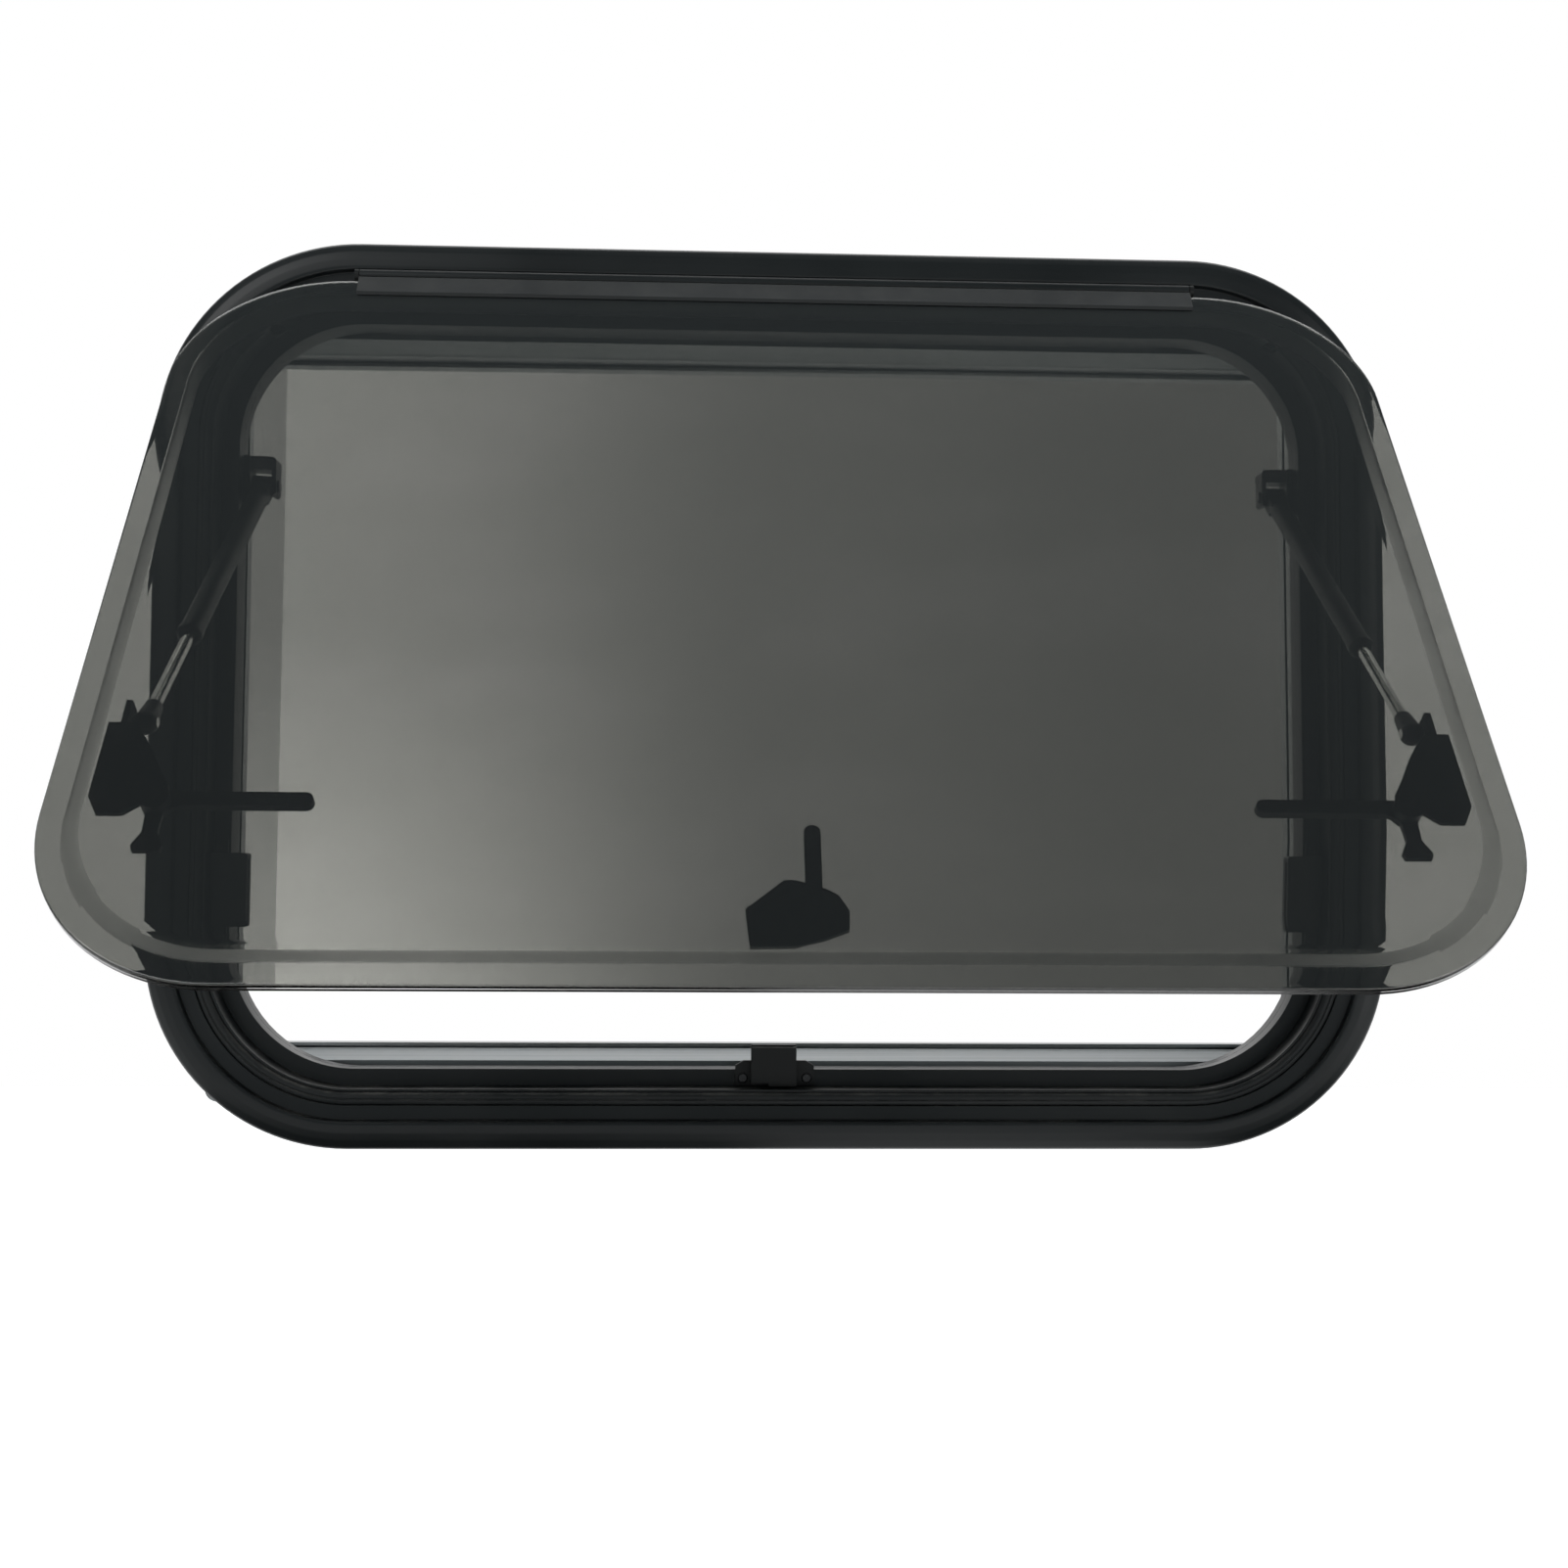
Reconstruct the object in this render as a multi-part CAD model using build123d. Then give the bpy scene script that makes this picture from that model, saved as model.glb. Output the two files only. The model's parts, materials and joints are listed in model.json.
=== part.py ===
from build123d import *
import math
import os

# Top-hung double-glazed hatch window for a boat or caravan side, outer frame, opening pane,
# telescopic stays, latches, and an inside unit with a blackout blind and a fly screen.
# Frame: +X right seen from outside, +Y inwards through the wall, +Z up.
# Origin: centre of the wall cut-out, on the wall's outer skin (y = 0). Millimetres and degrees.

# ---------------------------------------------------------------- driving dimensions
CUTOUT_W = 700.0
CUTOUT_H = 500.0
CUTOUT_R = 100.0
FLANGE_LAP = 20.0
WALL = 30.0
OPEN_ANGLE = 35.0

OUT_W = CUTOUT_W + 2 * FLANGE_LAP
OUT_H = CUTOUT_H + 2 * FLANGE_LAP
OUT_R = CUTOUT_R + FLANGE_LAP
HALF_W = OUT_W / 2
HALF_H = OUT_H / 2

# outer frame section, as inset from the outline and depth y
BACK_Y = -1.0
CROWN_Y = -7.6
CROWN_IN = 16.0
GUTTER_Y = -3.0
SEAL_IN = 25.6
SEAL_END = 33.2
SEAL_FLOOR_Y = 1.0
SEAL_TOP_Y = -3.6
LIP_Y = -1.0
WALL_IN = 34.8
SHELF_Y = 16.0
RING_IN = 45.0
RING_END_Y = 26.0
NECK_IN = 22.0
DRAIN_HALF = 9.0
DRAIN_DEPTH = 6.0
DRAIN_Y = -2.6

# clamp frame
CLAMP_Y = WALL
CLAMP_T = 4.5
SCREW_IN = 30.0
CLAMP_HOLE_R = 2.3
BRACKET_SCREW_Y = 32.2

# pane, measured in its closed place
HINGE_Y = -8.0
HINGE_Z = 249.0
PANE_HALF_W = 346.0
PANE_TOP_Z = 244.0
PANE_BOTTOM_Z = -245.4
PANE_R = 92.0
PANE_FRONT_Y = -8.5
OUTER_SHEET = 2.6
INNER_SHEET = 2.0
PAN_FACE_Y = 3.5
ROOT_HALF_W = 334.0
ROOT_Z = 234.0
FACE_HALF_W = 331.0
FACE_TOP_Z = 226.0
FACE_BOTTOM_Z = -219.5
BEAD_R = 2.85
SOCKET_R = 2.95
SOCKET_WALL = 0.85
HINGE_HALF = 250.0

# stays: pivot on the frame bracket and on the pane ear, one each side
STAY_X = 315.0
STAY_FRAME_Y = 35.0
STAY_FRAME_Z = 128.0
STAY_PANE_Y = 10.5
STAY_PANE_Z = -85.4
STAY_TUBE_R = 6.2
STAY_ROD_R = 3.2
STAY_TUBE_LEN = 182.0
STAY_PIN_R = 2.5
RUN_CLEAR = 0.08

# latches
SIDE_HUB_X = 300.0
SIDE_HUB_Z = -135.5
FOOT_HUB_X = 7.0
FOOT_HUB_Z = -197.0
FOOT_SCREW_Z = -204.5
BASE_T = 3.0
BASE_EDGE = 0.8
BASE_SCREW_R = 1.5
BOSS_R = 7.2
HUB_R = 7.4
RIB_T = 1.6
RIB_H = 3.2
BOSS_TOP_Y = 8.7
LEVER_Y = 9.0
TONGUE_T = 2.6
HUB_TOP_Y = 13.6
ARM_TOP_Y = 15.2
ARM_W = 8.0
SIDE_ARM = 73.0
FOOT_ARM = 51.4
TONGUE = 28.0
PIVOT_R = 2.5
BUTTON_R = 2.9
BUTTON_AT = 14.0

# catches
CATCH_FRONT_Y = 7.0
CATCH_SLOT_Y = 8.6
CATCH_BASE_Y = 12.0
CATCH_SEAT_Y = 13.0
CATCH_SINK_Y = 13.8
CATCH_HOLE_R = 1.7
CATCH_SINK_R = 3.1

# inside unit
UNIT_Y = 40.0
UNIT_END_Y = 86.0
UNIT_HALF_W = 345.0
UNIT_HALF_H = 248.0
UNIT_R = 8.0
END_T = 3.5
RAIL_IN_X = 334.0
SCREEN_Y = 58.0
BLIND_Y = 72.0
ROLL_R = 12.0
ROLLER_R = 8.0
STUB_R = 3.5
ROLLER_Z = 232.0
BAR_Z = 213.0
HOUSING_Z = 215.6
UNIT_WALL = 2.0

UPWARDS = (Align.CENTER, Align.CENTER, Align.MIN)


# ---------------------------------------------------------------- helpers
def save(shape, name):
    """Write one node as parts/NAME.step."""
    export_step(shape, f"parts/{name}.step")


def frame_path():
    """The frame's outline as a path that starts at the middle of the bottom."""
    across = HALF_W - OUT_R
    up = HALF_H - OUT_R
    start = Vector(0, -HALF_H)
    path = Curve()
    for turn, (x, z) in enumerate([(across, -up), (across, up), (-across, up), (-across, -up)]):
        corner = CenterArc((x, z), OUT_R, 90 * turn - 90, 90)
        path += [Line(start, corner @ 0), corner]
        start = corner @ 1
    path += Line(start, (0, -HALF_H))
    return Plane.XZ * path


def ring(section):
    """A ring round the window whose section is given as (inset, y) points."""
    outline = Polyline(*[(0, y, -HALF_H + inset) for inset, y in section], close=True)
    return sweep(make_face(outline), path=frame_path().wire())


def plate(half_w, low, high, radius, y_from, y_to):
    """A rounded plate lying in the window's plane between two depths."""
    face = Plane.XZ * Pos(0, (low + high) / 2) * RectangleRounded(2 * half_w, high - low, radius)
    return extrude(Pos(0, y_from, 0) * face, amount=y_to - y_from, dir=(0, 1, 0))


def prism(points, y_from, y_to):
    """A flat part cut to an (x, z) outline, between two depths."""
    outline = Polyline(*[(x, y_from, z) for x, z in points], close=True)
    return extrude(make_face(outline), amount=y_to - y_from, dir=(0, 1, 0))


def bar(points, x_from, x_to):
    """A length along X whose section is given as (y, z) points."""
    outline = Polyline(*[(x_from, y, z) for y, z in points], close=True)
    return extrude(make_face(outline), amount=x_to - x_from, dir=(1, 0, 0))


def block(x0, x1, y0, y1, z0, z1):
    """A box between two corners."""
    centre = Pos((x0 + x1) / 2, (y0 + y1) / 2, (z0 + z1) / 2)
    return centre * Box(abs(x1 - x0), abs(y1 - y0), abs(z1 - z0))


def rod_x(x0, x1, y, z, radius):
    """A round bar along X."""
    return Pos((x0 + x1) / 2, y, z) * Rot(0, 90, 0) * Cylinder(radius, abs(x1 - x0))


def rod_y(x, y0, y1, z, radius):
    """A round bar along Y."""
    return Pos(x, (y0 + y1) / 2, z) * Rot(90, 0, 0) * Cylinder(radius, abs(y1 - y0))


def opened(shape):
    """Swing a part of the pane from its closed place to the open rest place."""
    return shape.rotate(Axis((0, HINGE_Y, HINGE_Z), (1, 0, 0)), -OPEN_ANGLE)


def mirrored(shape, plane=Plane.YZ):
    """The left-hand twin of a right-hand part, or its twin across another plane."""
    twins = [solid.mirror(plane) for solid in shape.solids()]
    return twins[0] if len(twins) == 1 else group(twins)


def group(shapes):
    """Several separate solids in one node."""
    return Compound(shapes)


def save_pair(shape, name):
    """Write a right-hand part and its left-hand twin."""
    save(shape, f"{name}_right")
    save(mirrored(shape), f"{name}_left")


def screw(x, y_head, z, length, shank_r, head_r, head_h):
    """A domed screw along Y whose head's underside lies at y_head and whose shank points to -Y."""
    head = rod_y(x, y_head, y_head + head_h, z, head_r)
    head = chamfer(head.edges().group_by(Axis.Y)[-1], head_h * 0.45)
    recess = Pos(x, y_head + head_h, z) * Rot(90, 0, 0) * Box(head_r * 1.1, head_r * 0.3, head_h)
    cross = recess + Pos(x, y_head + head_h, z) * Rot(90, 0, 0) * Box(head_r * 0.3, head_r * 1.1, head_h)
    return head + rod_y(x, y_head - length, y_head, z, shank_r) - cross


# ---------------------------------------------------------------- outer frame
def outer_frame():
    """Bent aluminium section: crowned flange, gutter, seal groove, neck, and inner lip."""
    section = [
        (0, BACK_Y), (0, -3.2), (3, -5.6), (CROWN_IN - 2, CROWN_Y), (CROWN_IN, CROWN_Y),
        (CROWN_IN + 1, CROWN_Y + 1.2), (CROWN_IN + 1, GUTTER_Y), (SEAL_IN, GUTTER_Y),
        (SEAL_IN, SEAL_FLOOR_Y), (SEAL_END, SEAL_FLOOR_Y), (SEAL_END, LIP_Y), (WALL_IN, LIP_Y),
        (WALL_IN, SHELF_Y), (RING_IN, SHELF_Y), (RING_IN, RING_END_Y), (RING_IN - 2, RING_END_Y),
        (RING_IN - 2, SHELF_Y + 2), (32, SHELF_Y + 2), (32, 3), (28, 3), (28, 14), (26.5, 14),
        (26.5, 3), (24.5, 3), (24.5, 22), (NECK_IN, 22), (NECK_IN, BACK_Y),
    ]
    frame = ring(section)
    for x, z in catch_screw_places():
        frame -= rod_y(x, SHELF_Y - 1, SHELF_Y + 3, z, CATCH_HOLE_R)
    for x in drain_places():
        frame -= block(x - DRAIN_HALF, x + DRAIN_HALF, DRAIN_Y, 0, -HALF_H - 1, -HALF_H + DRAIN_DEPTH)
    return frame


def drain_places():
    """Centres of the two drain notches in the bottom of the flange."""
    return [-150.0, 150.0]


def wall_gasket():
    """Flat foam gasket under the flange."""
    return ring([(2, BACK_Y), (2, 0), (NECK_IN - 0.5, 0), (NECK_IN - 0.5, BACK_Y)])


def main_seal():
    """Rubber bulb seal pressed into the frame's groove."""
    section = [
        (SEAL_IN + 0.1, SEAL_FLOOR_Y), (SEAL_IN + 0.1, -1.4), (SEAL_IN + 0.9, -2.8),
        (SEAL_IN + 2.4, SEAL_TOP_Y), (SEAL_END - 2.6, SEAL_TOP_Y), (SEAL_END - 0.9, -2.6),
        (SEAL_END - 0.1, LIP_Y), (SEAL_END - 0.1, SEAL_FLOOR_Y),
    ]
    return ring(section)


def clamp_frame():
    """Inner ring that clamps the wall between itself and the outer frame."""
    back = CLAMP_Y + CLAMP_T
    section = [
        (6, CLAMP_Y), (6, back - 1.5), (8, back), (RING_IN, back), (RING_IN, RING_END_Y + 0.4),
        (RING_IN - 2, RING_END_Y + 0.4), (RING_IN - 2, CLAMP_Y),
    ]
    clamp = ring(section)
    for x, z in clamp_screw_places():
        clamp -= rod_y(x, CLAMP_Y - 1, back + 1, z, CLAMP_HOLE_R)
    for side in (-1, 1):
        for z in bracket_screw_heights():
            clamp -= rod_x(side * 324, side * 334, BRACKET_SCREW_Y, z, 1.3)
    return clamp


def clamp_screw_places():
    """Centres of the clamp screws, evenly spread on the four straight runs."""
    across = [(x, z) for x in (-210.0, -70.0, 70.0, 210.0) for z in (-HALF_H + SCREW_IN, HALF_H - SCREW_IN)]
    upright = [(x, z) for x in (-HALF_W + SCREW_IN, HALF_W - SCREW_IN) for z in (-110.0, 0.0, 110.0)]
    return across + upright


def clamp_screws():
    """Self-tapping screws from the clamp frame into the outer frame's screw channel."""
    back = CLAMP_Y + CLAMP_T
    return group([screw(x, back, z, 24, 1.9, 3.8, 2.4) for x, z in clamp_screw_places()])


# ---------------------------------------------------------------- hinge along the top
def hinge_rail():
    """Fixed hinge extrusion in the top gutter: a round socket with a downward mouth."""
    foot = bar([(-4.4, 245.2), (GUTTER_Y, 245.2), (GUTTER_Y, 252.8), (-4.4, 252.8)], -HINGE_HALF, HINGE_HALF)
    outer = rod_x(-HINGE_HALF, HINGE_HALF, HINGE_Y, HINGE_Z, SOCKET_R + SOCKET_WALL)
    bore = rod_x(-HINGE_HALF - 1, HINGE_HALF + 1, HINGE_Y, HINGE_Z, SOCKET_R)
    reach = 9.0
    mouth = [(HINGE_Y, HINGE_Z)]
    for angle in (-22, 27, 76):
        a = math.radians(angle)
        mouth.append((HINGE_Y - reach * math.sin(a), HINGE_Z - reach * math.cos(a)))
    opening = bar(mouth, -HINGE_HALF - 1, HINGE_HALF + 1)
    web = bar([(-6, 250), (-4.4, 246.8), (-4.2, 246.8), (-4.2, 252.5), (-7, 252.5)], -HINGE_HALF, HINGE_HALF)
    return foot + (outer + web - bore - opening)


def hinge_rail_caps():
    """Plastic end stops of the hinge rail."""
    caps = []
    for side in (-1, 1):
        cap = rod_x(side * (HINGE_HALF + 0.4), side * (HINGE_HALF + 3), HINGE_Y, HINGE_Z, 3.8)
        foot = block(side * (HINGE_HALF + 0.4), side * (HINGE_HALF + 3), -8, GUTTER_Y, 246, 252.8)
        caps.append(cap + foot)
    return group(caps)


def pane_rail():
    """Moving hinge extrusion: a bead in the socket, a web, and a leg bonded on the pane's top edge."""
    bead = rod_x(-HINGE_HALF, HINGE_HALF, HINGE_Y, HINGE_Z, BEAD_R)
    profile = [
        (-8.8, 247.5), (-8.8, 245.5), (-10.2, 245.3), (-10.6, 244.6), (-10.2, 231.5), (PANE_FRONT_Y, 230.5),
        (PANE_FRONT_Y, PANE_TOP_Z), (-4.6, PANE_TOP_Z), (-4.6, 245.2), (-7.2, 245.2), (-7.2, 247.5),
    ]
    return bead + bar(profile, -HINGE_HALF, HINGE_HALF)


# ---------------------------------------------------------------- double pane
def outer_pane():
    """Flat outer acrylic sheet with a rounded rim."""
    sheet = plate(PANE_HALF_W, PANE_BOTTOM_Z, PANE_TOP_Z, PANE_R, PANE_FRONT_Y, PANE_FRONT_Y + OUTER_SHEET)
    front = sheet.edges().group_by(Axis.Y)[0]
    return fillet(front, 1.2)


def pan(half_w_root, root_z, half_w_face, top_z, bottom_z, y_root, y_face, radius):
    """The raised middle of the inner sheet, between its root and its face."""
    root = Plane.XZ * RectangleRounded(2 * half_w_root, 2 * root_z, radius)
    middle = (top_z + bottom_z) / 2
    face = Plane.XZ * Pos(0, middle) * RectangleRounded(2 * half_w_face, top_z - bottom_z, radius - 4)
    return loft([Pos(0, y_root, 0) * root, Pos(0, y_face, 0) * face])


def inner_pane():
    """Formed inner acrylic sheet: a flat rim bonded to the outer sheet and a raised pan."""
    rim_y = PANE_FRONT_Y + OUTER_SHEET
    rim = plate(PANE_HALF_W, PANE_BOTTOM_Z, PANE_TOP_Z, PANE_R, rim_y, rim_y + INNER_SHEET)
    root_y = rim_y + INNER_SHEET
    raised = pan(ROOT_HALF_W, ROOT_Z, FACE_HALF_W, FACE_TOP_Z, FACE_BOTTOM_Z, root_y, PAN_FACE_Y, 80)
    raised = fillet(raised.edges().group_by(Axis.Y)[-1], 4)
    thin = INNER_SHEET
    hollow = pan(
        ROOT_HALF_W - thin, ROOT_Z - thin, FACE_HALF_W - thin, FACE_TOP_Z - thin,
        FACE_BOTTOM_Z + thin, rim_y, PAN_FACE_Y - thin, 78,
    )
    hollow = fillet(hollow.edges().group_by(Axis.Y)[-1], 2.5)
    sheet = rim + raised - hollow
    for x in plug_places():
        sheet -= rod_y(x, 0, 5, FACE_TOP_Z - 18, 3.0)
    return sheet


def plug_places():
    """Centres of the two vent plugs in the inner sheet."""
    return [-295.0, 295.0]


def vent_plugs():
    """Push-in plugs that close the vent holes of the double pane."""
    plugs = []
    for x in plug_places():
        head = rod_y(x, PAN_FACE_Y, PAN_FACE_Y + 1.5, FACE_TOP_Z - 18, 4.5)
        head = chamfer(head.edges().group_by(Axis.Y)[-1], 0.7)
        plugs.append(head + rod_y(x, 0.5, PAN_FACE_Y, FACE_TOP_Z - 18, 3.0))
    return group(plugs)


# ---------------------------------------------------------------- latches on the pane
def pivot_hole(x, z):
    """Bore of a latch pin through a base."""
    return rod_y(x, PAN_FACE_Y - 1, BOSS_TOP_Y + 1, z, PIVOT_R)


def side_base():
    """Right-hand base plate: latch boss at its inner end and the stay's ear on its top."""
    outline = [
        (318.5, -91), (330.3, -91), (330.6, -136), (325, -146.3), (313, -146.3),
        (306, -140.5), (300, -143), (293.5, -138), (294.5, -129), (301, -118), (306.5, -107), (311.5, -99),
    ]
    base = prism(outline, PAN_FACE_Y, PAN_FACE_Y + BASE_T)
    base = chamfer(base.edges().group_by(Axis.Y)[-1], BASE_EDGE)
    base += rod_y(SIDE_HUB_X, PAN_FACE_Y, BOSS_TOP_Y, SIDE_HUB_Z, BOSS_R)
    ear_outline = [(PAN_FACE_Y, -95.5), (PAN_FACE_Y, -77), (12, -77), (15.5, -80), (15.5, -88), (12, -95.5)]
    ear = bar(ear_outline, 321.2, 324.3)
    eye = rod_x(320, 325, STAY_PANE_Y, STAY_PANE_Z, STAY_PIN_R + RUN_CLEAR)
    for x in (315.0, 321.5):
        base += block(x, x + RIB_T, PAN_FACE_Y, PAN_FACE_Y + RIB_H, -140, -96)
    base = base + ear - eye - pivot_hole(SIDE_HUB_X, SIDE_HUB_Z)
    for x, z in side_base_screws():
        base -= rod_y(x, PAN_FACE_Y - 1, PAN_FACE_Y + BASE_T + 2, z, BASE_SCREW_R)
    return base


def side_base_screws():
    """Places of the two screws of a side base."""
    return [(327.6, -94.5), (319.0, -142.0)]


def foot_base():
    """Base plate of the bottom latch."""
    outline = [
        (-22, -198), (-20, -218.6), (1, -218.2), (13.5, -214), (25.3, -209), (25.8, -198.5),
        (21, -190), (15.7, -186.6), (1.6, -181.7), (-4, -181.7),
    ]
    base = prism(outline, PAN_FACE_Y, PAN_FACE_Y + BASE_T)
    base = chamfer(base.edges().group_by(Axis.Y)[-1], BASE_EDGE)
    base += rod_y(FOOT_HUB_X, PAN_FACE_Y, BOSS_TOP_Y, FOOT_HUB_Z, BOSS_R)
    base -= pivot_hole(FOOT_HUB_X, FOOT_HUB_Z)
    for x in foot_base_screws():
        base -= rod_y(x, PAN_FACE_Y - 1, PAN_FACE_Y + BASE_T + 2, FOOT_SCREW_Z, BASE_SCREW_R)
    return base


def foot_base_screws():
    """Places along X of the two screws of the bottom base."""
    return [-15.5, 19.5]


def base_screws():
    """Short screws of the three latch bases."""
    top = PAN_FACE_Y + BASE_T
    places = [(side * x, z) for side in (-1, 1) for x, z in side_base_screws()]
    places += [(x, FOOT_SCREW_Z) for x in foot_base_screws()]
    return group([screw(x, top, z, 2.9, BASE_SCREW_R, 2.3, 0.45) for x, z in places])


def lever(hub_x, hub_z, arm_length, arm_offset, tongue_half):
    """A latch lever with its arm pointing to -X and its flared tongue pointing down."""
    hub = rod_y(hub_x, LEVER_Y, HUB_TOP_Y, hub_z, HUB_R)
    hub = chamfer(hub.edges().group_by(Axis.Y)[-1], BASE_EDGE)
    half = ARM_W / 2
    middle = hub_z + arm_offset
    arm = block(hub_x - arm_length + half, hub_x, LEVER_Y + 0.6, ARM_TOP_Y, middle - half, middle + half)
    arm += rod_y(hub_x - arm_length + half, LEVER_Y + 0.6, ARM_TOP_Y, middle, half)
    arm = fillet(arm.edges().group_by(Axis.Y)[-1], 1.4)
    arm -= rod_y(hub_x, LEVER_Y, ARM_TOP_Y + 1, hub_z, 5.6)
    tongue = [
        (hub_x - 4.4, hub_z), (hub_x - 3.6, hub_z - TONGUE * 0.62),
        (hub_x - tongue_half, hub_z - TONGUE + 3.4),
        (hub_x - tongue_half + 1, hub_z - TONGUE), (hub_x + tongue_half - 1, hub_z - TONGUE),
        (hub_x + tongue_half, hub_z - TONGUE + 3.4), (hub_x + 3.6, hub_z - TONGUE * 0.62),
        (hub_x + 4.4, hub_z),
    ]
    blade = prism(tongue, LEVER_Y, LEVER_Y + TONGUE_T)
    wing = [
        (hub_x - 16, hub_z + arm_offset - 2), (hub_x - 6, hub_z - 4.5), (hub_x, hub_z),
        (hub_x - 4, hub_z + 5),
    ]
    shoulder = prism(wing, LEVER_Y, LEVER_Y + TONGUE_T)
    body = hub + arm + blade + shoulder
    body -= rod_y(hub_x, LEVER_Y - 1, ARM_TOP_Y + 1, hub_z, PIVOT_R + RUN_CLEAR)
    return body - rod_y(hub_x - BUTTON_AT, LEVER_Y + 2.0, ARM_TOP_Y + 1, middle, BUTTON_R + 0.1)


def button(hub_x, hub_z, arm_offset):
    """Safety button in the root of a lever's arm."""
    shape = rod_y(hub_x - BUTTON_AT, ARM_TOP_Y - 2.4, ARM_TOP_Y + 1.6, hub_z + arm_offset, BUTTON_R)
    return fillet(shape.edges().group_by(Axis.Y)[-1], 0.8)


def foot_turned(shape):
    """Turn a lever part so that its arm points up and its tongue points to -X."""
    return shape.rotate(Axis((FOOT_HUB_X, 0, FOOT_HUB_Z), (0, 1, 0)), 90)


def latch_pins():
    """Shouldered pins on which the three levers turn."""
    pins = []
    for x, z in ((-SIDE_HUB_X, SIDE_HUB_Z), (SIDE_HUB_X, SIDE_HUB_Z), (FOOT_HUB_X, FOOT_HUB_Z)):
        head = rod_y(x, HUB_TOP_Y + 0.3, HUB_TOP_Y + 1.6, z, 4.6)
        head = chamfer(head.edges().group_by(Axis.Y)[-1], 0.6)
        pins.append(head + rod_y(x, PAN_FACE_Y, HUB_TOP_Y + 0.3, z, PIVOT_R))
    return group(pins)


# ---------------------------------------------------------------- catches on the frame
def catch_screw_places():
    """Centres of the catches' screws."""
    side = [(s * 330.2, z) for s in (-1, 1) for z in (-94.5, -146.0)]
    return side + [(-17.5, -230.0), (21.0, -230.0)]


def side_catch():
    """Right-hand catch: a slot for the lever's tongue, open downwards and towards the middle."""
    seat = block(326, 334.4, CATCH_SEAT_Y, SHELF_Y, -150, -90)
    base = block(313, 334.4, CATCH_BASE_Y, SHELF_Y, -142, -98)
    front = block(313, 333.4, CATCH_FRONT_Y, CATCH_SLOT_Y, -139, -98)
    top = block(313, 334.4, CATCH_FRONT_Y, SHELF_Y, -102, -98)
    spine = block(330.6, 334.4, CATCH_FRONT_Y, SHELF_Y, -126, -98)
    catch = seat + base + top + spine + front
    nose = catch.edges().filter_by(Axis.Y).filter_by_position(Axis.X, 312.5, 313.5)
    catch = fillet(nose, 1.6)
    for x, z in catch_screw_places():
        if x > 300:
            catch -= rod_y(x, 10, SHELF_Y + 1, z, CATCH_HOLE_R)
            catch -= rod_y(x, 10, CATCH_SINK_Y, z, CATCH_SINK_R)
    return catch


def foot_catch():
    """Bottom catch: a slot for the tongue, open upwards and to the left, between two ears."""
    ears = [(-22, -234.4), (-22, -222.5), (-17, -219.5), (20.5, -219.5), (25.5, -222.5), (25.5, -234.4)]
    seat = prism(ears, CATCH_SEAT_Y, SHELF_Y)
    base = block(-12.5, 14.6, CATCH_BASE_Y, SHELF_Y, -234.4, -210)
    front = block(-12.5, 14.6, CATCH_FRONT_Y, CATCH_SLOT_Y, -232.5, -211)
    end = block(12.9, 14.6, CATCH_FRONT_Y, SHELF_Y, -234.4, -211)
    spine = block(-2, 14.6, CATCH_FRONT_Y, SHELF_Y, -234.4, -228.5)
    catch = seat + base + front + end + spine
    for x, z in catch_screw_places():
        if abs(x) < 100:
            catch -= rod_y(x, 10, SHELF_Y + 1, z, CATCH_HOLE_R)
            catch -= rod_y(x, 10, CATCH_SINK_Y, z, CATCH_SINK_R)
    return catch


def catch_screws():
    """Screws of the three catches, heads sunk in their seats."""
    screws = []
    for x, z in catch_screw_places():
        head = rod_y(x, CATCH_SINK_Y - 1.6, CATCH_SINK_Y, z, 2.9)
        head = chamfer(head.edges().group_by(Axis.Y)[0], 0.6)
        shank = rod_y(x, CATCH_SINK_Y, 23.5, z, 1.6)
        slot = block(x - 2.2, x + 2.2, 11, 12.9, z - 0.4, z + 0.4)
        slot += block(x - 0.4, x + 0.4, 11, 12.9, z - 2.2, z + 2.2)
        screws.append(head + shank - slot)
    return group(screws)


# ---------------------------------------------------------------- stays
def bracket_screw_heights():
    """Heights of the two screws of a stay bracket."""
    return [117.5, 133.0]


def stay_bracket():
    """Right-hand clevis on the frame's inner edge."""
    plate_part = block(321.8, 325, 27, 43, 113, 145)
    cheek = block(306.2, 308.9, 29, 42, 121.5, 145)
    web = block(306.2, 325, 29, 43, 137, 145)
    clevis = plate_part + cheek + web
    clevis = fillet(clevis.edges().filter_by(Axis.Y).filter_by_position(Axis.X, 306, 306.5), 2.5)
    clevis -= rod_x(300, 326, STAY_FRAME_Y, STAY_FRAME_Z, STAY_PIN_R)
    for z in bracket_screw_heights():
        clevis -= rod_x(320, 326, BRACKET_SCREW_Y, z, 1.4)
        clevis -= rod_x(320, 323.6, BRACKET_SCREW_Y, z, 2.5)
    return clevis


def stay_bracket_pin():
    """Riveted pin across the right-hand clevis."""
    pin = rod_x(306.2, 325, STAY_FRAME_Y, STAY_FRAME_Z, STAY_PIN_R)
    head = rod_x(304.8, 306.2, STAY_FRAME_Y, STAY_FRAME_Z, 3.8)
    return pin + chamfer(head.edges().group_by(Axis.X)[0], 0.6)


def bracket_screws():
    """Screws that hold the two brackets to the clamp frame's edge."""
    screws = []
    for side in (-1, 1):
        for z in bracket_screw_heights():
            head = rod_x(side * 321.9, side * 323.6, BRACKET_SCREW_Y, z, 2.4)
            screws.append(head + rod_x(side * 323.6, side * 332, BRACKET_SCREW_Y, z, 1.25))
    return group(screws)


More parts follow.
